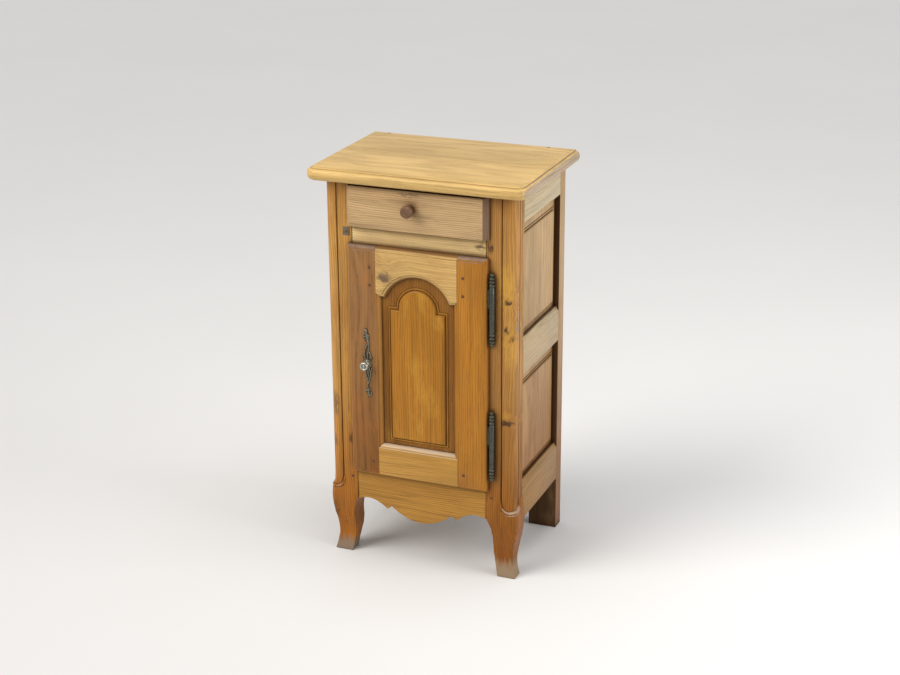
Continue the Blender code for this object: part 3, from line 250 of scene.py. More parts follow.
def wood(
    name,
    colour,
    axis,
    seed,
    dark,
    warm=(0.30, 0.105, 0.025),
    warmth=0.35,
    rings=210.0,
    ring_share=0.30,
    rough=0.44,
    coat=0.06,
    # painted_shade: strength of the shade painted into corners and between parts
    painted_shade=0.85,
    painted_low_shade=None,
    spots=(),
    worn=None,
    upward_highlight=None,
    edge=None,
):
    """Waxed solid wood with growth rings, pores, blotches and knots, and painted shade in the hollows.

    painted_low_shade: painted shade, darker towards the floor: (factor, height where it starts, height where
    it is full)
    spots: (centre, radii, colour, strength) of each knot or stain
    worn: (height, colour) of the rubbed foot
    upward_highlight, edge: (colour, strength) of painted highlight on faces that look up, and of painted
    light and shade on faces that turn away from the front
    """
    g = Graph(name)
    shift = (0.37 * seed, 0.61 * seed, 0.23 * seed)
    place = bent_round_knots(g, axis, shift, spots)
    ring, streak, pore = grown(g, axis, rings, seed, place, shift)
    cloud = g.noise(g.scaled(stretched(axis, 3.0, 9.0), place, shift), 1.0, 3.0, 0.55)
    blotch = g.noise(g.scaled(stretched(axis, 10.0, 24.0), place, shift), 1.0, 4.0, 0.6)
    broad = g.noise(g.scaled(stretched(axis, 2.4, 85.0), place, shift), 1.0, 3.0, 0.6)

    tone = g.mix(g.band(cloud, 0.30, 0.72), shade(colour, 1.16), shade(colour, 0.88))
    tone = g.tint(tone, g.band(broad, 0.48, 0.72), 0.50, shade(colour, 0.58))
    tone = g.tint(tone, ring, ring_share, shade(colour, dark))
    grain = g.times(g.band(streak, 0.46, 0.74), 0.55)
    tone = g.mix(grain, tone, shade(colour, dark * 0.85))
    tone = g.tint(tone, g.band(blotch, 0.48, 0.76), warmth, warm)
    tone = g.tint(tone, pore, PORE_SHARE, shade(colour, 0.30))
    broken = g.noise(g.scaled(stretched(axis, 60.0, 190.0), shift=shift), 1.0, 3.0)
    for centre, size, mark, strength in spots:
        patch = g.times(g.spot(centre, size), g.band(broken, 0.30, 0.52))
        tone = g.tint(tone, patch, strength, mark)

    # Painted shade: darker in corners and between parts, from ambient occlusion within 15 mm and 45 mm,
    # broken up by blotch noise.
    depth = g.plus(g.crevice(0.015), g.times(g.math("SUBTRACT", blotch, 0.5), 0.30))
    crevice_shade = g.times(g.band(depth, 0.93, 0.36), painted_shade)
    wide_shade = g.times(g.band(g.crevice(0.045), 0.92, 0.42), 0.80 * painted_shade)
    tone = g.mix(wide_shade, tone, g.darkened(tone, WIDE_SHADE_FACTOR))
    tone = g.mix(crevice_shade, tone, CREVICE_SHADE_TONE)
    roughness = g.plus(g.times(cloud, 0.22), rough - 0.11)
    roughness = g.plus(roughness, g.times(g.plus(pore, crevice_shade), 0.22))

    up = g.split(g.place)["Z"]
    # Painted shade: darker towards the floor.
    if painted_low_shade is not None:
        factor, high, low = painted_low_shade
        low_shade_mask = g.band(g.plus(up, g.times(cloud, 0.06)), high, low)
        tone = g.mix(low_shade_mask, tone, g.darkened(tone, factor))
    if worn is not None:
        height, mark = worn
        level = g.plus(up, g.times(g.math("SUBTRACT", streak, 0.5), 0.05))
        wear_and_painted_highlight = g.band(level, height, height * 0.35)
        tone = g.tint(tone, wear_and_painted_highlight, 0.80, mark)
        roughness = g.plus(roughness, g.times(wear_and_painted_highlight, 0.25))
    facing = g.split(g.add("ShaderNodeTexCoord").outputs["Normal"])
    # Painted light and shade: faces that turn away from the front take a lighter or darker colour.
    if edge is not None:
        mark, strength = edge
        tone = g.tint(tone, g.band(g.math("ABSOLUTE", facing["Y"]), 0.95, 0.75), strength, mark)
    # Painted highlight: paler on faces that look up, broken by blotch noise.
    if upward_highlight is not None:
        mark, strength = upward_highlight
        wear_and_painted_highlight = g.times(g.band(facing["Z"], 0.30, 0.62), g.band(blotch, 0.30, 0.50))
        tone = g.tint(tone, wear_and_painted_highlight, strength, mark)

    g.feed(g.shader.inputs["Base Color"], tone)
    g.feed(g.shader.inputs["Roughness"], g.math("MINIMUM", roughness, 0.95))
    height = g.times(g.plus(pore, g.times(grain, 0.5)), -1.0)
    waves = g.bump(cloud, 0.004, 0.35)
    g.feed(g.shader.inputs["Normal"], g.bump(height, 0.00035, 0.6, waves))
    dial(g.shader, WAX_AND_WARM_REFLECTION | {"Coat Weight": coat})
    return g.material


def metal(name, colour, bright, rough, grime, shine):
    """Old metal: darker in the hollows, rubbed bright on the raised edges, slightly pitted."""
    g = Graph(name)
    cloud = g.noise(g.place, 120.0, 4.0, 0.6)
    pits = g.noise(g.place, 900.0, 3.0, 0.6)
    hollow = g.crevice(0.0025, True)
    tone = g.mix(g.band(cloud, 0.35, 0.70), colour, shade(colour, 0.6))
    tone = g.tint(tone, g.band(cloud, 0.62, 0.48), 0.55, grime)
    wear_and_painted_highlight = g.times(g.band(hollow, 0.72, 0.97), g.band(pits, 0.38, 0.60))
    tone = g.tint(tone, wear_and_painted_highlight, 0.75, bright)
    tone = g.mix(g.band(hollow, 0.62, 0.25), tone, shade(grime, 0.25))
    roughness = g.math("SUBTRACT", g.plus(rough, g.times(cloud, 0.2)), g.times(wear_and_painted_highlight, 0.12))
    g.feed(g.shader.inputs["Base Color"], tone)
    g.feed(g.shader.inputs["Roughness"], roughness)
    g.feed(g.shader.inputs["Normal"], g.bump(pits, 0.0003, 0.5))
    g.shader.inputs["Metallic"].default_value = shine
    return g.material


# ---- Making pieces ----


def mesh_object(name, points, faces):
    mesh = bpy.data.meshes.new(name)
    mesh.from_pydata([tuple(map(float, point)) for point in points], [], faces)
    shape = bmesh.new()
    shape.from_mesh(mesh)
    bmesh.ops.remove_doubles(shape, verts=shape.verts, dist=1e-6)
    bmesh.ops.recalc_face_normals(shape, faces=shape.faces)
    shape.to_mesh(mesh)
    shape.free()
    obj = bpy.data.objects.new(name, mesh)
    SCENE.collection.objects.link(obj)
    return obj


def loft(name, rings):
    """A closed body through rings that each hold the same number of points."""
    count = len(rings[0])
    points = [point for ring in rings for point in ring]
    faces = []
    for level in range(len(rings) - 1):
        for index in range(count):
            after = (index + 1) % count
            a, b = level * count + index, level * count + after
            faces.append((a, b, b + count, a + count))
    faces.append(tuple(range(count)))
    faces.append(tuple((len(rings) - 1) * count + index for index in range(count)))
    return mesh_object(name, points, faces)


def lathe(name, profile, place, axis, sides):
    """A turned piece: (radius, height) points spun about an axis through place."""
    rings = []
    for radius, height in profile:
        ring = []
        for step in range(sides):
            turn = 2 * math.pi * step / sides
            across, up = radius * math.cos(turn), radius * math.sin(turn)
            if axis == "Z":
                ring.append((place[0] + across, place[1] + up, place[2] + height))
            else:
                ring.append((place[0] + across, place[1] - height, place[2] + up))
        rings.append(ring)
    return loft(name, rings)


def rounded_profile(corners, radius, steps=3):
    """Rounds the corners of an open (radius, height) profile."""
    out = [corners[0]]
    for before, here, after in zip(corners, corners[1:], corners[2:]):
        before, here, after = (Vector(point) for point in (before, here, after))
        first, second = before - here, after - here
        reach = min(radius, first.length * 0.45, second.length * 0.45)
        start = here + first.normalized() * reach
        end = here + second.normalized() * reach
        for step in range(steps + 1):
            share = step / steps
            point = start.lerp(here, share).lerp(here.lerp(end, share), share)
            out.append((max(point.x, 0.0), point.y))
    out.append(corners[-1])
    return out


def smooth(obj, angle):
    obj.data.shade_smooth()
    obj.data.set_sharp_from_angle(angle=math.radians(angle))
    return obj


def soften(obj, width, segments=2, angle=35):
    """Small rounded arrises, as on worked wood."""
    modifier = obj.modifiers.new("arris", "BEVEL")
    modifier.width = width
    modifier.segments = segments
    modifier.limit_method = "ANGLE"
    modifier.angle_limit = math.radians(angle)
    modifier.use_clamp_overlap = True
    modifier.harden_normals = False
    return obj


def combine(obj, tool, operation):
    modifier = obj.modifiers.new("cut", "BOOLEAN")
    modifier.operation = operation
    modifier.solver = "EXACT"
    modifier.object = tool


def settle(obj, *tools):
    """Applies an object's modifiers and removes the shapes that they used."""
    graph = bpy.context.evaluated_depsgraph_get()
    mesh = bpy.data.meshes.new_from_object(obj.evaluated_get(graph))
    obj.modifiers.clear()
    obj.data = mesh
    for tool in tools:
        bpy.data.objects.remove(tool, do_unlink=True)
    return obj


def merged(obj, angle=1.0):
    """Welds an object's mesh and joins its flat triangles into whole faces."""
    shape = bmesh.new()
    shape.from_mesh(obj.data)
    bmesh.ops.remove_doubles(shape, verts=shape.verts, dist=2e-6)
    bmesh.ops.dissolve_limit(
        shape, angle_limit=math.radians(angle), verts=shape.verts, edges=shape.edges
    )
    shape.to_mesh(obj.data)
    shape.free()
    return obj


def box_tool(x, y, z):
    corners = [(x[i], y[j], z[k]) for i in (0, 1) for j in (0, 1) for k in (0, 1)]
    faces = [(0, 1, 3, 2), (4, 6, 7, 5), (0, 4, 5, 1), (2, 3, 7, 6), (0, 2, 6, 4), (1, 5, 7, 3)]
    return mesh_object("tool", corners, faces)


def worked(obj, width, sharp, segments=2, angle=35):
    """Softens an object's arrises, then smooths all but its sharp edges."""
    settle(soften(obj, width, segments, angle))
    return smooth(obj, sharp)


def place_piece(obj, name, body, slot, material, *replaced):
    """Names a finished piece and hands it to the frame."""
    obj.name = name
    obj.data.name = name
    obj.data.materials.clear()
    obj.data.materials.append(material)
    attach(obj, body)
    if replaced:
        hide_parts(*replaced)


def copy_of(node):
    """A new piece with the shape of a CAD node."""
    obj = bpy.data.objects.new(node + "_copy", NODES[node].data.copy())
    SCENE.collection.objects.link(obj)
    return merged(obj)


def dressed(node, slot, material, width=0.0007):
    """The CAD node's shape with softened arrises, in place of the node."""
    obj = worked(copy_of(node), width, 40)
    place_piece(obj, node + "_worked", BODY_OF[node], slot, material, node)
    return obj


def end_grain(obj, material, chosen):
    """Gives the chosen faces a second wood."""
    obj.data.materials.append(material)
    for face in obj.data.polygons:
        if chosen(face):
            face.material_index = 1


def arc(centre, radius, start, end, steps):
    return [
        (
            centre[0] + radius * math.cos(start + (end - start) * step / steps),
            centre[1] + radius * math.sin(start + (end - start) * step / steps),
        )
        for step in range(steps + 1)
    ]


def upright(outline, y):
    return [(x, y, z) for x, z in outline]


def slab(name, outline, low, high):
    """A flat upright board with this outline, between two places on the Y axis."""
    return loft(name, [upright(outline, y) for y in (low, high)])


def around(box, grow):
    """The ranges of a box on the three axes, grown by this much on every side."""
    low, high = box
    return [(a - grow, b + grow) for a, b in zip(low, high)]


# ---- Woods and metals ----

TOP_TONE = (0.580, 0.380, 0.137)
SMOKE = (0.115, 0.070, 0.050)
KNOT = (0.055, 0.024, 0.014)
YELLOW = (0.60, 0.33, 0.05)
GREY = (0.20, 0.165, 0.125)
RAW = (0.46, 0.33, 0.19)
# Painted highlight on faces that look up.
PAINTED_UP_HIGHLIGHT = (0.56, 0.47, 0.37)
# Painted shade: each wood darker towards the floor, where less light reaches: (factor, height where it
# starts, height where it is full).
POST_PAINTED_LOW_SHADE = ((0.60, 0.38, 0.11), 0.50, 0.10)
SIDE_PAINTED_LOW_SHADE = ((0.58, 0.37, 0.17), 0.72, 0.12)
STILE_PAINTED_LOW_SHADE = ((0.80, 0.66, 0.42), 0.62, 0.22)
TOP_LOOK = {"warmth": 0.16, "rough": 0.40, "coat": 0.12, "painted_shade": 0.6}

# Name, colour, the axis of the grain, seed, and how dark the late wood is.
WOODS = {
    "top_front": wood("waxed_top_front", TOP_TONE, "X", 1, 0.66, rings=150, **TOP_LOOK),
    "top_rear": wood("waxed_top_rear", shade(TOP_TONE, 0.97), "X", 2, 0.64, rings=160, **TOP_LOOK),
    "top_end": wood("top_end_grain", (0.40, 0.30, 0.20), "Y", 26, 0.6, warmth=0.3, rings=300, rough=0.5),
    "drawer": wood(
        "drawer_front_oak", (0.545, 0.36, 0.180), "X", 3, 0.42, warmth=0.15, rings=240, ring_share=0.45,
        spots=[((-0.012, FRONT - 0.015, 0.781), (0.030, 0.02, 0.006), SMOKE, 0.7)],
    ),
    "rail": wood(
        "drawer_rail_oak", (0.84, 0.60, 0.28), "X", 4, 0.55, warmth=0.20, rings=210,
        spots=[((0.128, FRONT, 0.690), (0.014, 0.02, 0.014), KNOT, 0.8)],
    ),
    "apron": wood("apron_oak", (0.40, 0.195, 0.036), "X", 5, 0.46, warmth=0.45, rings=230, ring_share=0.45),
    "post_left": wood(
        "left_post_oak", (0.54, 0.275, 0.068), "Z", 6, 0.42, warmth=0.50, rings=230, ring_share=0.42,
        painted_low_shade=POST_PAINTED_LOW_SHADE,
        spots=[
            ((-0.150, FRONT, 0.255), (0.010, 0.02, 0.018), KNOT, 0.75),
            ((-0.186, FRONT, 0.330), (0.014, 0.02, 0.036), SMOKE, 0.7),
            ((-0.186, FRONT, 0.245), (0.010, 0.02, 0.022), SMOKE, 0.6),
            ((-0.150, FRONT, 0.300), (0.012, 0.02, 0.016), YELLOW, 0.45),
            ((-0.192, FRONT + 0.004, 0.090), (0.010, 0.03, 0.030), KNOT, 0.7),
        ],
        worn=(0.034, GREY), upward_highlight=(PAINTED_UP_HIGHLIGHT, 0.42),
    ),
    "post_right": wood(
        "right_post_oak", (0.41, 0.198, 0.048), "Z", 7, 0.42, warmth=0.45, rings=230, ring_share=0.42,
        painted_low_shade=POST_PAINTED_LOW_SHADE,
        spots=[
            ((0.180, FRONT, 0.615), (0.022, 0.04, 0.060), YELLOW, 0.55),
            ((0.186, FRONT, 0.500), (0.020, 0.04, 0.070), YELLOW, 0.45),
            ((0.184, FRONT + 0.002, 0.586), (0.010, 0.02, 0.008), KNOT, 0.95),
            ((0.180, FRONT + 0.002, 0.530), (0.008, 0.02, 0.012), KNOT, 0.95),
            ((0.188, FRONT + 0.002, 0.512), (0.008, 0.02, 0.010), KNOT, 0.75),
            ((0.181, FRONT, 0.337), (0.020, 0.03, 0.005), KNOT, 0.95),
            ((0.181, FRONT, 0.355), (0.012, 0.03, 0.014), YELLOW, 0.4),
            ((0.196, FRONT + 0.022, 0.540), (0.008, 0.012, 0.050), GREY, 0.7),
            ((0.147, FRONT, 0.690), (0.010, 0.02, 0.016), KNOT, 0.8),
            ((0.150, FRONT, 0.600), (0.010, 0.02, 0.050), KNOT, 0.35),
        ],
        worn=(0.046, (0.27, 0.20, 0.13)), upward_highlight=(PAINTED_UP_HIGHLIGHT, 0.42),
    ),
    # Edge colours: painted light on the left stile's lip, painted shade on the right stile's lip, under the
    # arch and on the panel's mouldings.
    "stile_left": wood(
        "left_stile_oak", (0.265, 0.127, 0.046), "Z", 8, 0.50, warm=(0.42, 0.150, 0.028), warmth=0.50,
        painted_low_shade=STILE_PAINTED_LOW_SHADE, edge=((0.48, 0.23, 0.05), 0.6),
    ),
    "stile_right": wood(
        "right_stile_oak", (0.375, 0.150, 0.017), "Z", 9, 0.50, warmth=0.40, edge=((0.30, 0.110, 0.014), 0.55)
    ),
    "door_top": wood(
        "door_top_rail_oak", (0.56, 0.350, 0.125), "X", 10, 0.50, warmth=0.30, rings=200,
        edge=((0.13, 0.050, 0.014), 0.8),
        spots=[((-0.066, DOOR_FACE, 0.610), (0.020, 0.02, 0.018), SMOKE, 0.9)],
    ),
    "door_bottom": wood(
        "door_bottom_rail_oak", (0.46, 0.240, 0.050), "X", 11, 0.60, warmth=0.15, upward_highlight=(PAINTED_UP_HIGHLIGHT, 0.6)
    ),
    "panel": wood(
        "door_panel_oak", (0.385, 0.155, 0.016), "Z", 12, 0.46, warm=(0.56, 0.30, 0.04), warmth=0.45,
        rough=0.40, ring_share=0.40, edge=((0.20, 0.080, 0.012), 0.6),
    ),
    # Painted shade: a darker wood on the panel's margin, in the recess under the frame's moulding.
    "panel_margin": wood(
        "door_panel_margin_oak", (0.235, 0.090, 0.013), "Z", 12, 0.46, warm=(0.40, 0.18, 0.03), warmth=0.35,
        ring_share=0.40,
    ),
    "side": wood(
        "side_rail_oak", (0.49, 0.395, 0.250), "Y", 13, 0.62, warm=(0.30, 0.16, 0.07), warmth=0.22,
        painted_low_shade=SIDE_PAINTED_LOW_SHADE,
    ),
    "side_panel": wood(
        "side_panel_oak", (0.47, 0.310, 0.150), "Z", 14, 0.50, warmth=0.40, painted_low_shade=SIDE_PAINTED_LOW_SHADE, painted_shade=1.0
    ),
    "rear_post": wood(
        "rear_post_oak", (0.43, 0.275, 0.130), "Z", 15, 0.60, warmth=0.30, painted_low_shade=SIDE_PAINTED_LOW_SHADE
    ),
    # Dirt and painted shade: a near-black wood on the rear posts' front and inner faces, in the recess beside
    # the side panels.
    "rear_dark": wood(
        "rear_post_dirty_shaded_face", (0.075, 0.036, 0.016), "Z", 16, 0.40, warm=(0.26, 0.15, 0.07),
        warmth=0.35, coat=0.0, rough=0.7,
    ),
    "drawer_end": wood(
        "drawer_end_grain", (0.15, 0.096, 0.065), "Z", 24, 0.6, warmth=0.2, rings=400, rough=0.5
    ),
    "stile_end": wood(
        "stile_end_grain", (0.23, 0.150, 0.105), "Z", 25, 0.6, warmth=0.2, rings=400, rough=0.42
    ),
    "raw_x": wood("raw_oak_x", RAW, "X", 17, 0.68, warmth=0.12, rough=0.72, coat=0.0, painted_shade=0.5),
    "raw_y": wood("raw_oak_y", RAW, "Y", 18, 0.68, warmth=0.12, rough=0.72, coat=0.0, painted_shade=0.5),
    "raw_z": wood("raw_oak_z", shade(RAW, 0.8), "Z", 19, 0.64, warmth=0.15, rough=0.75, coat=0.0, painted_shade=0.5),
    "turned": wood(
        "turned_knob_wood", (0.150, 0.082, 0.050), "Y", 20, 0.60, warmth=0.2, rough=0.36, rings=260
    ),
    "peg": wood("peg_end_grain", (0.105, 0.048, 0.028), "Y", 21, 0.5, warmth=0.2, rings=500, rough=0.5),
    "peg_pale": wood(
        "pale_peg_end_grain", (0.30, 0.165, 0.055), "Z", 22, 0.5, warmth=0.2, rings=500, rough=0.4
    ),
    "plug": wood(
        "grey_plug_wood", (0.145, 0.115, 0.080), "X", 23, 0.6, warm=(0.12, 0.08, 0.05), warmth=0.3, rough=0.6
    ),
}
# Colour, colour where it is rubbed bright, roughness, colour of the grime, metallic share.
IRON = metal(
    "patinated_iron", (0.030, 0.032, 0.025), (0.13, 0.14, 0.11), 0.36, (0.030, 0.026, 0.020), 0.75
)
PEWTER = metal(
    "aged_pewter_plate", (0.085, 0.082, 0.060), (0.38, 0.38, 0.29), 0.34, (0.070, 0.046, 0.028), 0.85
)
BRIGHT_PEWTER = metal(
    "bright_pewter_knob", (0.38, 0.38, 0.31), (0.66, 0.66, 0.57), 0.26, (0.20, 0.19, 0.14), 0.9
)
DARK_IRON = metal(
    "dark_iron", (0.045, 0.042, 0.036), (0.12, 0.12, 0.10), 0.45, (0.045, 0.028, 0.018), 0.8
)


# ---- Top ----

TOP_CORNER = 0.024
TOP_STEP = 0.0046
TOP_SEAM_GAP = 0.00012
TOP_PEG_RADIUS = 0.0036


def top_edge():
    """(inset, height) of the moulded edge: rounded below, a small step, then a sloped arris."""
    low, high = TOP_LOW.z, TOP_HIGH.z
    nose = (high - low - TOP_STEP) / 2
    middle = low + nose
    points = [(0.0085, low)]
    for step in range(17):
        turn = -math.pi / 2 + math.pi * step / 16
        points.append((0.0072 * (1 - math.cos(turn)), middle + nose * math.sin(turn)))
    points += [
        (0.0078, high - TOP_STEP),
        (0.0081, high - 0.0042),
        (0.0081, high - 0.0030),
        (0.0085, high - 0.0024),
        (0.0105, high - 0.0014),
        (0.0130, high - 0.0004),
        (0.0150, high),
    ]
    return points


def top_ring(inset, z, front, back, chamfer):
    half = TOP_HIGH.x - inset
    if front > TOP_LOW.y + 0.001:
        back -= inset if back > SEAM + 0.001 and inset > 0.0085 else 0.0
        return [(-half, front + chamfer, z), (half, front + chamfer, z), (half, back, z), (-half, back, z)]
    front += inset
    radius = TOP_CORNER - inset
    left = arc((radius - half, front + radius), radius, math.pi, 1.5 * math.pi, 14)
    right = arc((half - radius, front + radius), radius, 1.5 * math.pi, 2 * math.pi, 14)
    return [(x, y, z) for x, y in [*left, *right, (half, back - chamfer), (-half, back - chamfer)]]


def make_top():
    spans = {
        "top_front_board": (TOP_LOW.y, SEAM - TOP_SEAM_GAP, "top_front"),
        "top_rear_board": (SEAM + TOP_SEAM_GAP, REAR, "top_rear"),
    }
    for node, (front, back, tone) in spans.items():
        rings = []
        for inset, z in top_edge():
            chamfer = 0.0005 if z >= TOP_HIGH.z - 0.0001 else 0.0
            rings.append(top_ring(inset, z, front, back, chamfer))
        obj = smooth(loft(node, rings), 30)
        place_piece(obj, node + "_moulded", "cabinet", "pale_oak", WOODS[tone], node)
        end_grain(obj, WOODS["top_end"], lambda face: face.normal.x > 0.75)
    pegs = {
        "front_left": (-0.174, FRONT + 0.023),
        "front_right": (0.165, FRONT + 0.023),
        "rear_left": (-0.181, REAR - 0.011),
        "rear_right": (0.164, REAR - 0.011),
    }
    for name, (x, y) in pegs.items():
        radius = TOP_PEG_RADIUS
        profile = [(0.0, -0.004), (radius, -0.004), (radius, 0.00005)]
        profile += [(radius * 0.8, 0.00012), (0.0, 0.00014)]
        place = (x, y, TOP_HIGH.z - 0.0002)
        obj = smooth(lathe("peg", profile, place, "Z", 18), 40)
        place_piece(obj, f"top_peg_{name}", "cabinet", "dark_peg", WOODS["peg_pale"])


# ---- Front posts and legs ----

CORNER = 0.020
POST_WIDTH = 0.0586
# Height, then the insets of the inner, outer, front and back faces, and the corner's radius.
LEG_SECTIONS = (
    (0.000, 0.0205, 0.0000, 0.0085, 0.0105, 0.0012),
    (0.020, 0.0165, 0.0045, 0.0120, 0.0105, 0.0015),
    (0.036, 0.0138, 0.0068, 0.0140, 0.0060, 0.0025),
    (0.050, 0.0122, 0.0062, 0.0125, -0.0005, 0.0040),
    (0.066, 0.0122, 0.0040, 0.0095, -0.0040, 0.0060),
    (0.086, 0.0125, -0.0010, 0.0050, -0.0025, 0.0085),
    (0.104, 0.0100, -0.0042, 0.0020, -0.0005, 0.0115),
    (0.116, 0.0060, -0.0055, 0.0000, 0.0000, 0.0135),
    (0.126, 0.0015, -0.0056, -0.0015, 0.0000, 0.0155),
    (0.138, 0.0000, -0.0050, -0.0020, 0.0000, 0.0175),
    (0.152, 0.0000, -0.0030, -0.0012, 0.0000, 0.0190),
    (0.174, 0.0000, 0.0000, 0.0000, 0.0000, CORNER),
)
# Where the section has points: millimetres from the outer corner, along the front and the side.
FRONT_STEPS = (
    58.6, 57.8, 54, 48, 42, 36, 32, 30, 28.8, 28.1, 27.5, 27, 26.5, 26, 25.5, 24.9, 24.2, 23, 21.5,
)
SIDE_STEPS = (
    21.5, 23, 24.7, 25.4, 26, 26.5, 27, 27.5, 28, 28.6, 29.3, 31, 33, 34.8, 35.8, 36.4, 36.9, 37.4, 37.9,
    38.5, 39.5, 41.5, 42.8, 43.4, 43.9, 44.4, 44.9, 45.6, 46.6, 48.2,
)
QUIRK_FRONT = 0.0265
QUIRK_SIDE = 0.0270
TONGUE_FOOT = 0.1485
TONGUE_CORNER = 0.0125
SIDE_LINES = (0.0369, 0.0439)
KNEE_TOP = 0.104
EASE = 0.0007


def leg_section(z):
    for lower, upper in zip(LEG_SECTIONS, LEG_SECTIONS[1:]):
        if z <= upper[0]:
            break
    share = min(1.0, (z - lower[0]) / (upper[0] - lower[0]))
    eased = (share + share * share * (3 - 2 * share)) / 2
    return [a + (b - a) * eased for a, b in zip(lower[1:], upper[1:])]


def bell(distance, width):
    return math.exp(-((distance / width) ** 2))


def step_between(value, low, high):
    share = min(1.0, max(0.0, (value - low) / (high - low)))
    return share * share * (3 - 2 * share)


def carving(along, depth, z, half, shift, knee):
    """How far the carved surface stands out at this place along the section and height."""
    across = abs(along - shift) - (half - TONGUE_CORNER)
    down = TONGUE_FOOT + TONGUE_CORNER - z
    distance = math.hypot(max(across, 0.0), max(down, 0.0)) + min(max(across, down), 0.0)
    distance -= TONGUE_CORNER
    lower = 1 - step_between(z, 0.158, 0.178)
    out = -knee * (1 - step_between(distance, -0.0016, 0.0006))
    out -= (0.0024 - 0.0008 * lower) * bell(distance + 0.0004 * lower, 0.00095)
    out += 0.0015 * bell(distance - 0.0026, 0.0014) * lower
    out -= 0.0012 * bell(distance - 0.0058, 0.0012) * lower
    out += 0.0006 * bell(distance - 0.0022, 0.0012) * (1 - lower)
    faded = step_between(z, 0.138, 0.156)
    for line in SIDE_LINES:
        out -= 0.0014 * bell(depth - line, 0.0008) * faded
    return out


def post_ring(z, side):
    inner, outer, front, back, radius = leg_section(min(z, LEG_SECTIONS[-1][0]))
    knee_front, knee_side = max(0.0, -front), max(0.0, -outer)
    inner += OPENING_HALF
    outer = HALF_WIDTH - outer
    front += FRONT
    if z > KNEE_TOP:
        back = max(back, 0.0)
    back = FRONT + POST_DEPTH - back
    flat_front = outer - radius - inner
    flat_side = back - front - radius
    quarter = radius * math.pi / 4
    half = CORNER * math.pi / 4 + (QUIRK_FRONT + QUIRK_SIDE) / 2 - CORNER
    shift = (QUIRK_SIDE - QUIRK_FRONT) / 2
    ring = [(inner, front + EASE)]
    for step in FRONT_STEPS[1:]:
        reach = (step / 1000 - CORNER) / (POST_WIDTH - CORNER) * flat_front
        out = carving(-quarter - reach, 0.0, z, half, shift, knee_front)
        ring.append((outer - radius - reach, front - out))
    for step in range(15):
        turn = -math.pi / 2 + math.pi / 2 * step / 14
        knee = knee_side * math.cos(turn) ** 2 + knee_front * math.sin(turn) ** 2
        out = carving(radius * (turn + math.pi / 4), 0.0, z, half, shift, knee)
        ring.append(
            (
                outer - radius + (radius + out) * math.cos(turn),
                front + radius + (radius + out) * math.sin(turn),
            )
        )
    for step in SIDE_STEPS:
        reach = (step / 1000 - CORNER) / (POST_DEPTH - CORNER) * flat_side
        out = carving(quarter + reach, step / 1000, z, half, shift, knee_side)
        ring.append((outer + out, front + radius + reach))
    ring += [
        (outer - EASE, back),
        (outer - (outer - inner) * 0.35, back),
        (outer - (outer - inner) * 0.70, back),
        (inner + EASE, back),
        (inner, back - EASE),
        (inner, front + (back - front) * 0.6),
        (inner, front + (back - front) * 0.3),
    ]
    return [(side * x, y, z) for x, y in ring]


def post_slots(name):
    """Cuts for the hinge leaves on the right, and for the strike and the latch on the left."""
    if name == "right":
        tools = []
        for level in ("upper", "lower"):
            low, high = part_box(f"{level}_hinge_post_half")
            x = (low.x + high.x) / 2
            z = (low.z + 0.033, (low.z + high.z) / 2 + 0.03)
            tools.append(box_tool((x - 0.0014, x + 0.0014), (FRONT - 0.01, FRONT + 0.020), z))
        return tools
    low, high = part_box("latch_strike")
    _, y, z = around((low, high), FIT)
    plate = box_tool((low.x - FIT, -OPENING_HALF + 0.01), y, z)
    mouth = box_tool(
        (low.x - 0.013, low.x + 0.001), (low.y + 0.004, high.y - 0.008), (low.z + 0.008, high.z - 0.008)
    )
    return [plate, mouth]


def make_post(name):
    low = [0.0005 + 0.1395 * step / 34 for step in range(35)]
    fine = [0.1405 + 0.0310 * step / 56 for step in range(57)]
    high = [0.1725, 0.174, 0.176, 0.179, 0.184, 0.19, 0.21]
    high += [0.21 + (POST_TOP - 0.21) * step / 16 for step in range(1, 17)]
    rings = [post_ring(z, SIDES[name]) for z in [*low, *fine, *high]]
    first = [Vector(point) for point in rings[0]]
    middle = sum(first, Vector()) / len(first)
    rings.insert(0, [tuple(middle.lerp(point, 0.985) - Vector((0, 0, 0.0005))) for point in first])
    node = f"front_post_{name}"
    post = loft(node, rings)
    tools = post_slots(name)
    for tool in tools:
        combine(post, tool, "DIFFERENCE")
    settle(post, *tools)
    smooth(post, 38)
    place_piece(post, f"{node}_carved", "cabinet", "honey_oak", WOODS[f"post_{name}"], node)


# ---- Front frame ----


APRON_THICKNESS = 0.022
APRON_MIDDLE = 0.093
APRON_BOW = 0.131


def apron_edge():
    """The scalloped lower edge from the middle to the post, (x, z)."""
    notch = OPENING_HALF - 0.0734
    tip = OPENING_HALF - 0.0644
    bow = OPENING_HALF - 0.0234
    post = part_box("apron")[1].x - TENON
    half = [(notch * s / 20, APRON_MIDDLE + 0.027 * (s / 20) ** 2) for s in range(1, 21)]
    for step in range(17):
        share = step / 16
        half.append((tip + (bow - tip) * share, APRON_BOW - 0.019 * (1 - share) ** 1.8))
    for step in range(1, 9):
        share = step / 8
        half.append((bow + (post - bow) * share, APRON_BOW - 0.005 * share**2))
    return half, post


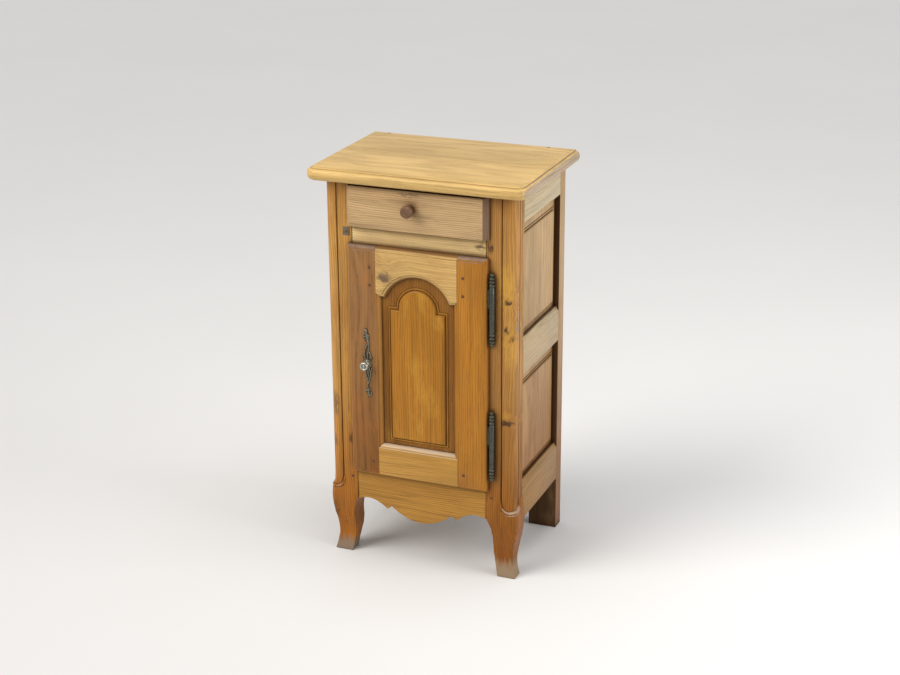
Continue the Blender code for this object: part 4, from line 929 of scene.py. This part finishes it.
def make_front_frame():
    half, post = apron_edge()
    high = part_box("apron")[1].z
    outline = [(-x, z) for x, z in reversed(half)]
    outline += [(0.0, APRON_MIDDLE), *half, (post, high), (-post, high)]
    apron = worked(slab("apron", outline, FRONT, FRONT + APRON_THICKNESS), 0.0010, 28, 3, 28)
    place_piece(apron, "apron_scalloped", "cabinet", "honey_oak", WOODS["apron"], "apron")
    dressed("drawer_rail", "honey_oak", WOODS["rail"], 0.0008)
    dressed("top_front_rail", "honey_oak", WOODS["rail"])
    plug = box_tool((-0.1585, -0.1425), (FRONT - 0.0002, FRONT + 0.004), (0.6835, 0.7015))
    worked(plug, 0.0006, 30)
    place_piece(plug, "drawer_rail_plug_left", "cabinet", "dark_peg", WOODS["plug"])


# ---- Pegs ----


# Share of the radius, and how far out from the peg's face. Metres.
PEG_FACE = ((1.0, -0.010), (1.0, -0.0002), (0.93, 0.0001), (0.7, 0.0003), (0.0, 0.00038))


def make_pegs():
    for index, node in enumerate(sorted(name for name in NODES if "_peg_" in name)):
        low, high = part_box(node)
        x, y, z = (low.x + high.x) / 2, low.y + 0.0004, (low.z + high.z) / 2
        radius = (high.z - low.z) / 2
        rings = []
        for share, height in PEG_FACE:
            ring = []
            for step in range(16):
                turn = 2 * math.pi * step / 16
                wobble = 1 + 0.07 * math.sin(3 * turn + index) + 0.05 * math.sin(5 * turn + 2.3 * index)
                reach = radius * share * wobble
                ring.append((x + reach * math.cos(turn), y - height, z + reach * math.sin(turn)))
            rings.append(ring)
        obj = smooth(loft("peg", rings), 40)
        place_piece(obj, node + "_cleft", BODY_OF[node], "dark_peg", WOODS["peg"], node)


# ---- Sides ----

# How far out from the field's edge, and how far proud of the margin. Metres.
BEAD = (
    (0.0074, 0.0000), (0.0068, -0.0008), (0.0062, -0.0008), (0.0056, 0.0004), (0.0049, 0.0011),
    (0.0040, 0.0013), (0.0031, 0.0010), (0.0025, 0.0002), (0.0021, -0.0004), (0.0017, -0.0002),
    (0.0012, 0.0012), (0.0006, 0.0024), (-0.0002, 0.0033),
)
PANEL_TONGUE = 0.0077
SIDE_MARGIN = 0.008
SIDE_FIELD_INSET = 0.014
SIDE_FIELD_HEAD = 0.030


def make_side_panels():
    for name, side in SIDES.items():
        for level in ("upper", "lower"):
            node = f"side_{level}_panel_{name}"
            low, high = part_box(node)
            inner = min(abs(low.x), abs(high.x))
            margin = inner + SIDE_MARGIN
            y = (low.y, high.y)
            z = (low.z, high.z)
            foot_inset = PANEL_TONGUE + SIDE_FIELD_INSET
            field_y = (low.y + foot_inset, high.y - foot_inset)
            field_z = (low.z + foot_inset, high.z - PANEL_TONGUE - SIDE_FIELD_HEAD)
            levels = [(inner, y, z, 0.0), (margin, y, z, 0.0)]
            levels += [(margin + out, field_y, field_z, -grow) for grow, out in BEAD]
            levels += [(margin + 0.0038, field_y, field_z, 0.0012)]
            levels += [(margin + 0.0040, field_y, field_z, 0.0030)]
            rings = []
            for x, along, up, inset in levels:
                a, b = along[0] + inset, along[1] - inset
                c, d = up[0] + inset, up[1] - inset
                rings.append([(side * x, p, q) for p, q in ((a, c), (b, c), (b, d), (a, d))])
            panel = smooth(loft(node, rings), 38)
            place_piece(panel, node + "_fielded", "cabinet", "honey_oak", WOODS["side_panel"], node)


def make_rails_and_posts():
    for name, side in SIDES.items():
        for level in ("top", "middle", "bottom"):
            dressed(f"side_{level}_rail_{name}", "honey_oak", WOODS["side"], 0.0008)
        post = dressed(f"rear_post_{name}", "honey_oak", WOODS["rear_post"], 0.0008)
        # Dirt and painted shade: the rear posts' front and inner faces take the near-black wood.
        end_grain(post, WOODS["rear_dark"], lambda face: face.normal.y < -0.7 or face.normal.x * side < -0.7)


# ---- Inside, back and drawer box ----


def make_plain_boards():
    for node in NODES:
        if node.startswith("back_board"):
            dressed(node, "raw_oak", WOODS["raw_z"], 0.0005)
        elif node.startswith("back_") or node in ("bottom_board", "shelf", "drawer_back", "drawer_bottom"):
            dressed(node, "raw_oak", WOODS["raw_x"], 0.0006)
        elif "cleat" in node or "runner" in node or node.startswith("drawer_side"):
            dressed(node, "raw_oak", WOODS["raw_y"], 0.0006)


# ---- Drawer front and knob ----


def make_drawer_front():
    obj = worked(copy_of("drawer_front"), 0.0011, 30, 3, 20)
    place_piece(obj, "drawer_front_bevelled", "drawer", "honey_oak", WOODS["drawer"], "drawer_front")
    end_grain(obj, WOODS["drawer_end"], lambda face: face.normal.x > 0.4)
    low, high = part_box("drawer_knob")
    place = ((low.x + high.x) / 2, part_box("drawer_front")[0].y, (low.z + high.z) / 2)
    long = place[1] - low.y
    wide = (high.z - low.z) / 2
    corners = [(0.0, long), (wide * 0.84, long), (wide * 0.90, long - 0.0016), (wide, long - 0.0028)]
    shank = ((0.985, 0.66), (0.86, 0.46), (0.62, 0.30), (0.58, 0.16))
    corners += [(wide * across, long * along) for across, along in shank]
    corners += [(wide * 0.66, 0.0003), (0.0044, 0.0003), (0.0044, -0.012), (0.0, -0.012)]
    knob = smooth(lathe("knob", rounded_profile(corners, 0.0012), place, "-Y", 48), 40)
    place_piece(knob, "drawer_knob_turned", "drawer", "turned_wood", WOODS["turned"], "drawer_knob")


# ---- Door ----

STICKING = 0.0085
STICKING_DEPTH = 0.0095
LIP = 0.009
LIP_DEPTH = 0.008
DOOR_TENON = 0.034
TOP_RAIL_FACE = 0.102
BOTTOM_RAIL_FACE = 0.0615
FIELD_INSET = 0.020
STILE_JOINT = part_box("door_bottom_rail")[1].x - DOOR_TENON
OPENING_SIDE = STILE_JOINT + FIT - STICKING
SHOULDER = DOOR_HIGH.z - TOP_RAIL_FACE
SILL = DOOR_LOW.z + BOTTOM_RAIL_FACE + STICKING
FIELD_SIDE = OPENING_SIDE - FIELD_INSET
PANEL_MARGIN = 0.0045


def arched(half, foot, shoulder, chord, rise, grow, steps=40):
    """An outline with square shoulders under an arc, grown by this much, (x, z)."""
    radius = (chord**2 + rise**2) / (2 * rise)
    centre = shoulder + rise - radius
    shoulder += grow
    radius += grow
    side = half + grow
    lean = math.asin(min(1.0, (shoulder - centre) / radius))
    crown = arc((0.0, centre), radius, lean, math.pi - lean, steps)
    return [(-side, foot - grow), (side, foot - grow), (side, shoulder), *crown, (-side, shoulder)]


def opening(grow=0.0):
    return arched(OPENING_SIDE, SILL, SHOULDER, OPENING_SIDE - 0.0105, 0.046, grow)


def field(grow=0.0):
    return arched(FIELD_SIDE, SILL + 0.0155, SHOULDER - 0.024, FIELD_SIDE - 0.018, 0.044, grow)


def door_body():
    """The door's outer shape in front of the frame: a lip with a small step and a rounded edge."""
    half = DOOR_HIGH.x
    steps = [(FRONT - FIT, 0.0), (DOOR_FACE + LIP_DEPTH, 0.0)]
    for step in range(1, 9):
        turn = math.pi / 2 * step / 8
        y = DOOR_FACE + LIP_DEPTH - (LIP_DEPTH - 0.0009) * math.sin(turn)
        steps.append((y, (LIP - 0.0004) * (1 - math.cos(turn))))
    steps += [(DOOR_FACE + 0.0003, LIP), (DOOR_FACE, LIP + 0.0004)]
    rings = []
    for y, inset in steps:
        foot, head = DOOR_LOW.z + inset, DOOR_HIGH.z - inset
        corners = [(inset - half, foot), (half - inset, foot), (half - inset, head), (inset - half, head)]
        rings.append(upright(corners, y))
    return loft("door_body", rings)


def opening_cutter():
    rings = [upright(opening(), DOOR_BACK + 0.01)]
    for step in range(9):
        turn = math.pi / 2 * step / 8
        depth = 0.0012 + (STICKING_DEPTH - 0.0012) * (1 - math.sin(turn))
        rings.append(upright(opening((STICKING - 0.0004) * (1 - math.cos(turn))), DOOR_FACE + depth))
    rings.append(upright(opening(STICKING), DOOR_FACE + 0.0004))
    rings.append(upright(opening(STICKING + 0.0004), DOOR_FACE - 0.00001))
    rings.append(upright(opening(STICKING + 0.0004), DOOR_FACE - 0.01))
    return loft("door_cutter", rings)


def member_outlines():
    outer = DOOR_HIGH.x + 0.001
    head = DOOR_HIGH.z + 0.001
    foot = DOOR_LOW.z - 0.001
    inner = OPENING_SIDE - STICKING
    sill = SILL - STICKING
    lintel = SHOULDER + STICKING
    run = 2 * STICKING
    joint = STILE_JOINT + FIT
    stile = [(outer, foot), (outer, head), (joint, head), (joint, lintel)]
    stile += [(inner, lintel - run), (inner, sill + run), (joint, sill), (joint, foot)]
    joint -= FIT
    top = [(-joint, lintel), (-inner, lintel - run + FIT), (inner, lintel - run + FIT)]
    top += [(joint, lintel), (joint, head), (-joint, head)]
    bottom = [(joint, sill), (inner, sill + run - FIT), (-inner, sill + run - FIT)]
    bottom += [(-joint, sill), (-joint, foot), (joint, foot)]
    return {
        "door_stile_left": [(-x, z) for x, z in reversed(stile)],
        "door_stile_right": stile,
        "door_top_rail": top,
        "door_bottom_rail": bottom,
    }


def leaf_slots():
    """Cuts in the right stile for the leaves of the two hinges."""
    tools = []
    for level in ("upper", "lower"):
        low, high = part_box(f"{level}_hinge_door_half")
        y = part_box(f"{level}_hinge_post_half")[0].y + 0.0057
        z = ((low.z + high.z) / 2 - 0.036, high.z - 0.033)
        tools.append(box_tool((low.x - FIT, DOOR_HIGH.x + 0.01), (y - 0.0013, y + 0.0013), z))
    return tools


def make_door_frame():
    tones = {
        "door_stile_left": ("stile_left", "brown_oak"),
        "door_stile_right": ("stile_right", "honey_oak"),
        "door_top_rail": ("door_top", "honey_oak"),
        "door_bottom_rail": ("door_bottom", "honey_oak"),
    }
    cutter = opening_cutter()
    panel_room = slab("room", opening(0.008), PANEL_HIGH.y + FIT, PANEL_LOW.y + 0.0042)
    for node, outline in member_outlines().items():
        member = slab(node, outline, DOOR_FACE - 0.001, DOOR_BACK)
        body = door_body()
        half = OPENING_HALF - 0.002
        rebate = box_tool(
            (-half, half), (FRONT - 0.006, DOOR_BACK), (DOOR_LOW.z + 0.011, DOOR_HIGH.z - 0.011)
        )
        combine(body, rebate, "UNION")
        settle(body, rebate)
        combine(member, body, "INTERSECT")
        combine(member, cutter, "DIFFERENCE")
        combine(member, panel_room, "DIFFERENCE")
        slots = leaf_slots() if node == "door_stile_right" else []
        for tool in slots:
            combine(member, tool, "DIFFERENCE")
        settle(member, body, *slots)
        merged(member, 0.4)
        worked(member, 0.0005, 34, 2, 50)
        tone, slot = tones[node]
        place_piece(member, node + "_moulded", "door", slot, WOODS[tone], node)
        if "stile" in node:
            head = DOOR_HIGH.z - 0.010
            end_grain(member, WOODS["stile_end"], lambda face: face.normal.z > 0.3 and face.center.z > head)
    for tool in (cutter, panel_room):
        bpy.data.objects.remove(tool, do_unlink=True)


def make_door_panel():
    back, face = PANEL_HIGH.y, PANEL_LOW.y
    margin = face + PANEL_MARGIN
    edge = opening(PANEL_TONGUE)
    rings = [upright(edge, back), upright(edge, margin)]
    for grow, out in BEAD:
        rings.append(upright(field(grow), margin - out))
    rings.append(upright(field(-0.0012), margin - 0.0041))
    rings.append(upright(field(-0.0030), face))
    panel = smooth(loft("door_panel", rings), 38)
    place_piece(panel, "door_panel_fielded", "door", "honey_oak", WOODS["panel"], "door_panel")
    # Painted shade: the margin faces take the darker wood.
    end_grain(panel, WOODS["panel_margin"], lambda face: abs(face.center.y - margin) < 0.0001)


# ---- Hinges ----


HINGE_RADIUS = 0.0053
PIN_RADIUS = 0.0026
BORE_RADIUS = 0.0030
# A turned end, 30 mm long: share of the hinge's radius, and height from the tip.
HINGE_END = (
    (0.00, 0.0000), (0.50, 0.0004), (0.78, 0.0022), (0.74, 0.0046), (0.46, 0.0062), (0.46, 0.0074),
    (0.94, 0.0088), (1.00, 0.0104), (0.94, 0.0120), (0.60, 0.0130), (0.60, 0.0142), (0.98, 0.0154),
    (1.06, 0.0170), (0.98, 0.0186), (0.66, 0.0196), (0.66, 0.0214), (1.00, 0.0226), (1.08, 0.0244),
    (1.00, 0.0262), (0.80, 0.0270), (0.86, 0.0286), (1.00, 0.0300),
)


def make_hinges():
    radius = HINGE_RADIUS
    for level in ("upper", "lower"):
        door_low, door_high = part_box(f"{level}_hinge_door_half")
        post_low, post_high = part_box(f"{level}_hinge_post_half")
        length = door_high.z - post_low.z
        middle = (door_high.z + post_low.z) / 2
        x = (post_low.x + post_high.x) / 2
        y = post_low.y + radius * 1.08
        end = rounded_profile([(radius * width, height) for width, height in HINGE_END], 0.0007, 2)
        for sign, node in ((1, "door"), (-1, "post")):
            profile = [(r, sign * (length / 2 - h)) for r, h in end]
            profile += [(radius, sign * 0.0006), (radius * 0.93, sign * 0.0001), (0.0, sign * 0.0001)]
            barrel = lathe("hinge", profile, (x, y, middle), "Z", 32)
            if node == "door":
                span = (middle + 0.003, middle + 0.041)
                leaf = box_tool((door_low.x, x - 0.001), (y - 0.001, y + 0.001), span)
                turned = [(0.0, -0.01), (BORE_RADIUS, -0.01), (BORE_RADIUS, 0.0285), (0.0, 0.0300)]
                core = lathe("bore", turned, (x, y, middle), "Z", 20)
                combine(barrel, leaf, "UNION")
                combine(barrel, core, "DIFFERENCE")
            else:
                span = (middle - 0.041, middle - 0.003)
                leaf = box_tool((x - 0.001, x + 0.001), (y + 0.001, post_high.y), span)
                turned = [(0.0, -0.002), (PIN_RADIUS, -0.002), (PIN_RADIUS, 0.026)]
                turned += [(0.0018, 0.028), (0.0, 0.028)]
                core = lathe("pin", turned, (x, y, middle), "Z", 20)
                combine(barrel, core, "UNION")
                combine(barrel, leaf, "UNION")
            settle(barrel, core, leaf)
            smooth(barrel, 34)
            cad = f"{level}_hinge_{node}_half"
            place_piece(barrel, cad + "_turned", BODY_OF[cad], "dark_iron", IRON, cad)


# ---- Knob plate, knob and latch ----

# Each stroke of the plate: points (across, up, radius), millimetres from the knob.
STROKES = (
    ((-4.5, 70, 1.2), (-3, 70.4, 2.4), (-1.2, 68.6, 2.9), (-1, 65, 2.4)),
    ((-1, 66, 2.6), (-0.4, 61, 2.9), (0.4, 55.5, 2.9), (1.2, 50, 2.3), (2, 44, 1.6), (2.2, 40, 1.2)),
    ((-0.8, 62.5, 1.5), (-4.4, 61.2, 1.5), (-5.6, 58.6, 1.2), (-4.8, 57.2, 0.9)),
    ((-0.2, 57.5, 1.5), (-4.2, 56, 1.6), (-5.8, 53, 1.2), (-4.8, 51.6, 0.9)),
    ((0.6, 53, 1.4), (-2.6, 51, 1.4), (-3.8, 48.6, 1.1), (-2.8, 47.4, 0.8)),
    ((0.8, 60, 1.3), (3.2, 58.4, 1.3), (3.8, 55.8, 1), (3, 54.4, 0.8)),
    ((2, 44.5, 1.5), (-0.6, 38, 1.5), (-3, 31, 1.5), (-4.6, 23.5, 1.6), (-5, 16, 1.7), (-3.6, 9, 2)),
    (
        (2.2, 44, 1.3), (2.8, 37.5, 1.3), (2.2, 31, 1.3), (3, 25.5, 1.4),
        (5, 20.5, 1.5), (5.6, 15, 1.5), (3.6, 9, 1.9),
    ),
    ((3, 26, 1.2), (0.6, 22.4, 1.3), (0.2, 17, 1.4), (0.6, 10, 1.8)),
    ((5.4, 18, 1.2), (7.4, 14.6, 1.3), (7.6, 11.4, 1.1), (6.4, 10, 0.9)),
    ((-4.9, 19, 1.2), (-7.2, 15, 1.3), (-7.4, 11.6, 1.1), (-6.2, 10.4, 0.9)),
    ((-7.4, -9, 1.3), (-8, -13, 1.4), (-6, -16.4, 1.4), (-4, -14.8, 1.1), (-4.6, -12.6, 0.9)),
    ((6.6, -8, 1.2), (7.2, -12, 1.3), (5.8, -15.6, 1.3), (4.6, -13.8, 1)),
    (
        (-2.6, -9, 1.9), (-3.6, -16, 1.5), (-3, -23, 1.4), (-1.2, -30, 1.4),
        (-0.4, -37, 1.4), (-0.6, -44, 1.5), (-0.2, -51, 1.6),
    ),
    ((2.6, -9, 1.9), (4.6, -16, 1.4), (5, -23, 1.3), (3.6, -30, 1.3), (2, -37, 1.4), (1, -43, 1.5)),
    ((0.6, -12, 1.6), (0.8, -20, 1.2), (1, -28, 1.1), (0.4, -34, 1.1)),
    ((-0.6, -44, 1.5), (0, -52, 1.9), (0.6, -59, 2.1), (1.2, -65, 2.3), (1, -69.6, 1.9)),
    ((1, -66, 1.6), (4.2, -66.4, 1.5), (5.8, -63.4, 1.4), (5.2, -60.2, 1.2), (3.4, -60, 0.9)),
    ((0.4, -54, 1.3), (3.4, -54.6, 1.2), (4.4, -52, 1), (3.6, -50.6, 0.8)),
    ((-0.4, -56, 1.2), (-3, -57, 1.2), (-3.6, -59.8, 1), (-2.6, -61, 0.8)),
)
PLATE_SPREAD = 1.22
PLATE_THINNING = 0.92


def stroke_mesh(stroke, face):
    """A flattened, tapering rope through a stroke's points."""
    points = [Vector(point) for point in stroke]
    line = []
    for index in range(len(points) - 1):
        before = points[max(index - 1, 0)]
        after = points[min(index + 2, len(points) - 1)]
        here, there = points[index], points[index + 1]
        for step in range(6):
            t = step / 6
            line.append(
                0.5 * (
                    2 * here
                    + (there - before) * t
                    + (2 * before - 5 * here + 4 * there - after) * t * t
                    + (3 * here - before - 3 * there + after) * t**3
                )
            )
    line.append(points[-1])
    rings = []
    for index, point in enumerate(line):
        ahead = line[min(index + 1, len(line) - 1)] - line[max(index - 1, 0)]
        across = Vector((-ahead.y, ahead.x)).normalized()
        taper = min(1.0, 0.45 + 0.3 * min(index, len(line) - 1 - index))
        radius = point.z * taper / 1000
        ring = []
        for step in range(12):
            turn = 2 * math.pi * step / 12
            side = across * (radius * math.cos(turn))
            ring.append(
                (
                    KNOB_X + point.x / 1000 + side.x,
                    face - 0.0007 - 1.05 * radius * math.sin(turn),
                    KNOB_Z + point.y / 1000 + side.y,
                )
            )
        rings.append(ring)
    return loft("stroke", rings)


def make_plate():
    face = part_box("knob_plate")[1].y
    shapes = []
    for stroke in STROKES:
        spread = [(PLATE_SPREAD * x, z, PLATE_THINNING * width) for x, z, width in stroke]
        shapes.append(stroke_mesh(spread, face))
    boss = [(0.0, 0.0028), (0.0052, 0.0028), (0.0064, 0.0016)]
    boss += [(0.0088, 0.0019), (0.0094, -0.001), (0.0, -0.001)]
    shapes.append(lathe("boss", rounded_profile(boss, 0.0006), (KNOB_X, face, KNOB_Z), "-Y", 36))
    shape = bmesh.new()
    for obj in shapes:
        shape.from_mesh(obj.data)
        bpy.data.objects.remove(obj, do_unlink=True)
    mesh = bpy.data.meshes.new("plate")
    shape.to_mesh(mesh)
    shape.free()
    plate = bpy.data.objects.new("plate", mesh)
    SCENE.collection.objects.link(plate)
    remesh = plate.modifiers.new("one casting", "REMESH")
    remesh.mode = "VOXEL"
    remesh.voxel_size = 0.00042
    relax = plate.modifiers.new("relax", "SMOOTH")
    relax.factor = 0.5
    relax.iterations = 2
    settle(plate)
    trim = box_tool((KNOB_X - 0.02, KNOB_X + 0.02), (face, face + 0.01), (KNOB_Z - 0.08, KNOB_Z + 0.08))
    combine(plate, trim, "DIFFERENCE")
    settle(plate, trim)
    smooth(plate, 60)
    place_piece(plate, "knob_plate_scrolled", "door", "aged_pewter", PEWTER, "knob_plate")
    for name, x, z in (("upper", -0.0018, 0.0640), ("lower", 0.0012, -0.0665)):
        nail = [(0.0, 0.0044), (0.0011, 0.0042), (0.0016, 0.0034), (0.0016, 0.0), (0.0, 0.0)]
        place = (KNOB_X + x, face, KNOB_Z + z)
        obj = smooth(lathe("nail", rounded_profile(nail, 0.0003), place, "-Y", 18), 40)
        place_piece(obj, f"plate_nail_{name}", "door", "aged_pewter", PEWTER)


def make_knob():
    low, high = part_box("door_knob")
    face = high.y
    long = face - low.y
    wide = (high.z - low.z) / 2
    head = (
        (0.0, 0.0006), (0.16, 0.0006), (0.24, 0.0014), (0.34, 0.0026), (0.44, 0.0026), (0.52, 0.0012),
        (0.66, 0.0), (0.86, 0.0006), (1.0, 0.0030), (0.97, 0.0050), (0.78, 0.0082), (0.46, 0.0108),
    )
    shank = ((0.40, 0.30), (0.56, 0.16), (0.64, 0.06), (0.64, 0.0), (0.0, 0.0))
    corners = [(wide * across, long - down) for across, down in head]
    corners += [(wide * across, long * along) for across, along in shank]
    centre = ((low.x + high.x) / 2, face, KNOB_Z)
    knob = smooth(lathe("knob", rounded_profile(corners, 0.0008), centre, "-Y", 48), 36)
    place_piece(knob, "door_knob_turned", "knob", "aged_pewter", BRIGHT_PEWTER, "door_knob")
    dressed("latch_tongue", "dark_iron", DARK_IRON, 0.0004)
    dressed("latch_strike", "dark_iron", DARK_IRON, 0.0003)


# ---- Floor, light and camera ----


def make_floor():
    size = 14.0
    corners = [(-size, -size, 0.0), (size, -size, 0.0), (size, size, 0.0), (-size, size, 0.0)]
    floor = mesh_object("studio_floor", corners, [(0, 1, 2, 3)])
    floor.location.z = -0.0004
    g = Graph("studio_floor")
    cloud = g.noise(g.place, 1.3, 3.0)
    g.feed(g.shader.inputs["Base Color"], g.mix(cloud, (0.69, 0.68, 0.665), (0.73, 0.72, 0.705)))
    g.shader.inputs["Roughness"].default_value = 0.75
    floor.data.materials.append(g.material)


def area_light(name, place, target, size, power, colour=(1.0, 1.0, 1.0)):
    light = bpy.data.lights.new(name, "AREA")
    light.shape = "RECTANGLE"
    light.size, light.size_y = size
    light.energy = power
    light.color = colour
    obj = bpy.data.objects.new(name, light)
    obj.location = place
    obj.rotation_euler = (Vector(target) - Vector(place)).to_track_quat("-Z", "Y").to_euler()
    SCENE.collection.objects.link(obj)


def make_light():
    sun = bpy.data.lights.new("key", "SUN")
    sun.energy = 2.3
    sun.angle = math.radians(38)
    sun.color = (1.0, 0.975, 0.93)
    key = bpy.data.objects.new("key", sun)
    key.rotation_euler = Vector((0.55, 0.60, -0.62)).to_track_quat("-Z", "Y").to_euler()
    SCENE.collection.objects.link(key)
    area_light("side", (2.6, -0.1, 1.3), (0, 0, 0.5), (1.6, 1.6), 42, (0.98, 0.99, 1.0))
    area_light("above", (0.1, -0.3, 3.0), (0, 0, 0.6), (1.8, 1.8), 26, (1.0, 0.99, 0.97))
    world = bpy.data.worlds.new("studio")
    world.use_nodes = True
    shader = world.node_tree.nodes["Background"]
    shader.inputs["Color"].default_value = (0.96, 0.97, 1.0, 1.0)
    shader.inputs["Strength"].default_value = 0.50
    SCENE.world = world
    SCENE.view_settings.view_transform = "Standard"
    SCENE.view_settings.look = "None"


def make_camera():
    azimuth, elevation, roll = (math.radians(angle) for angle in (22.01, 20.09, -0.376))
    forward = Vector(
        (
            -math.sin(azimuth) * math.cos(elevation),
            math.cos(azimuth) * math.cos(elevation),
            -math.sin(elevation),
        )
    )
    level = Vector((math.cos(azimuth), math.sin(azimuth), 0.0))
    above = level.cross(forward)
    right = level * math.cos(roll) + above * math.sin(roll)
    up = above * math.cos(roll) - level * math.sin(roll)
    data = bpy.data.cameras.new("camera")
    data.lens = 71.92
    data.sensor_width = 36.0
    data.clip_end = 60.0
    camera = bpy.data.objects.new("camera", data)
    turn = Matrix((right, up, -forward)).transposed()
    camera.matrix_world = Matrix.Translation((1.2844, -3.1433, 1.6918)) @ turn.to_4x4()
    SCENE.collection.objects.link(camera)
    SCENE.camera = camera


# ---- Assembly ----

make_camera()
make_floor()
make_light()
make_top()
for post_name in SIDES:
    make_post(post_name)
make_front_frame()
make_pegs()
make_side_panels()
make_rails_and_posts()
make_plain_boards()
make_drawer_front()
make_door_frame()
make_door_panel()
make_hinges()
make_plate()
make_knob()
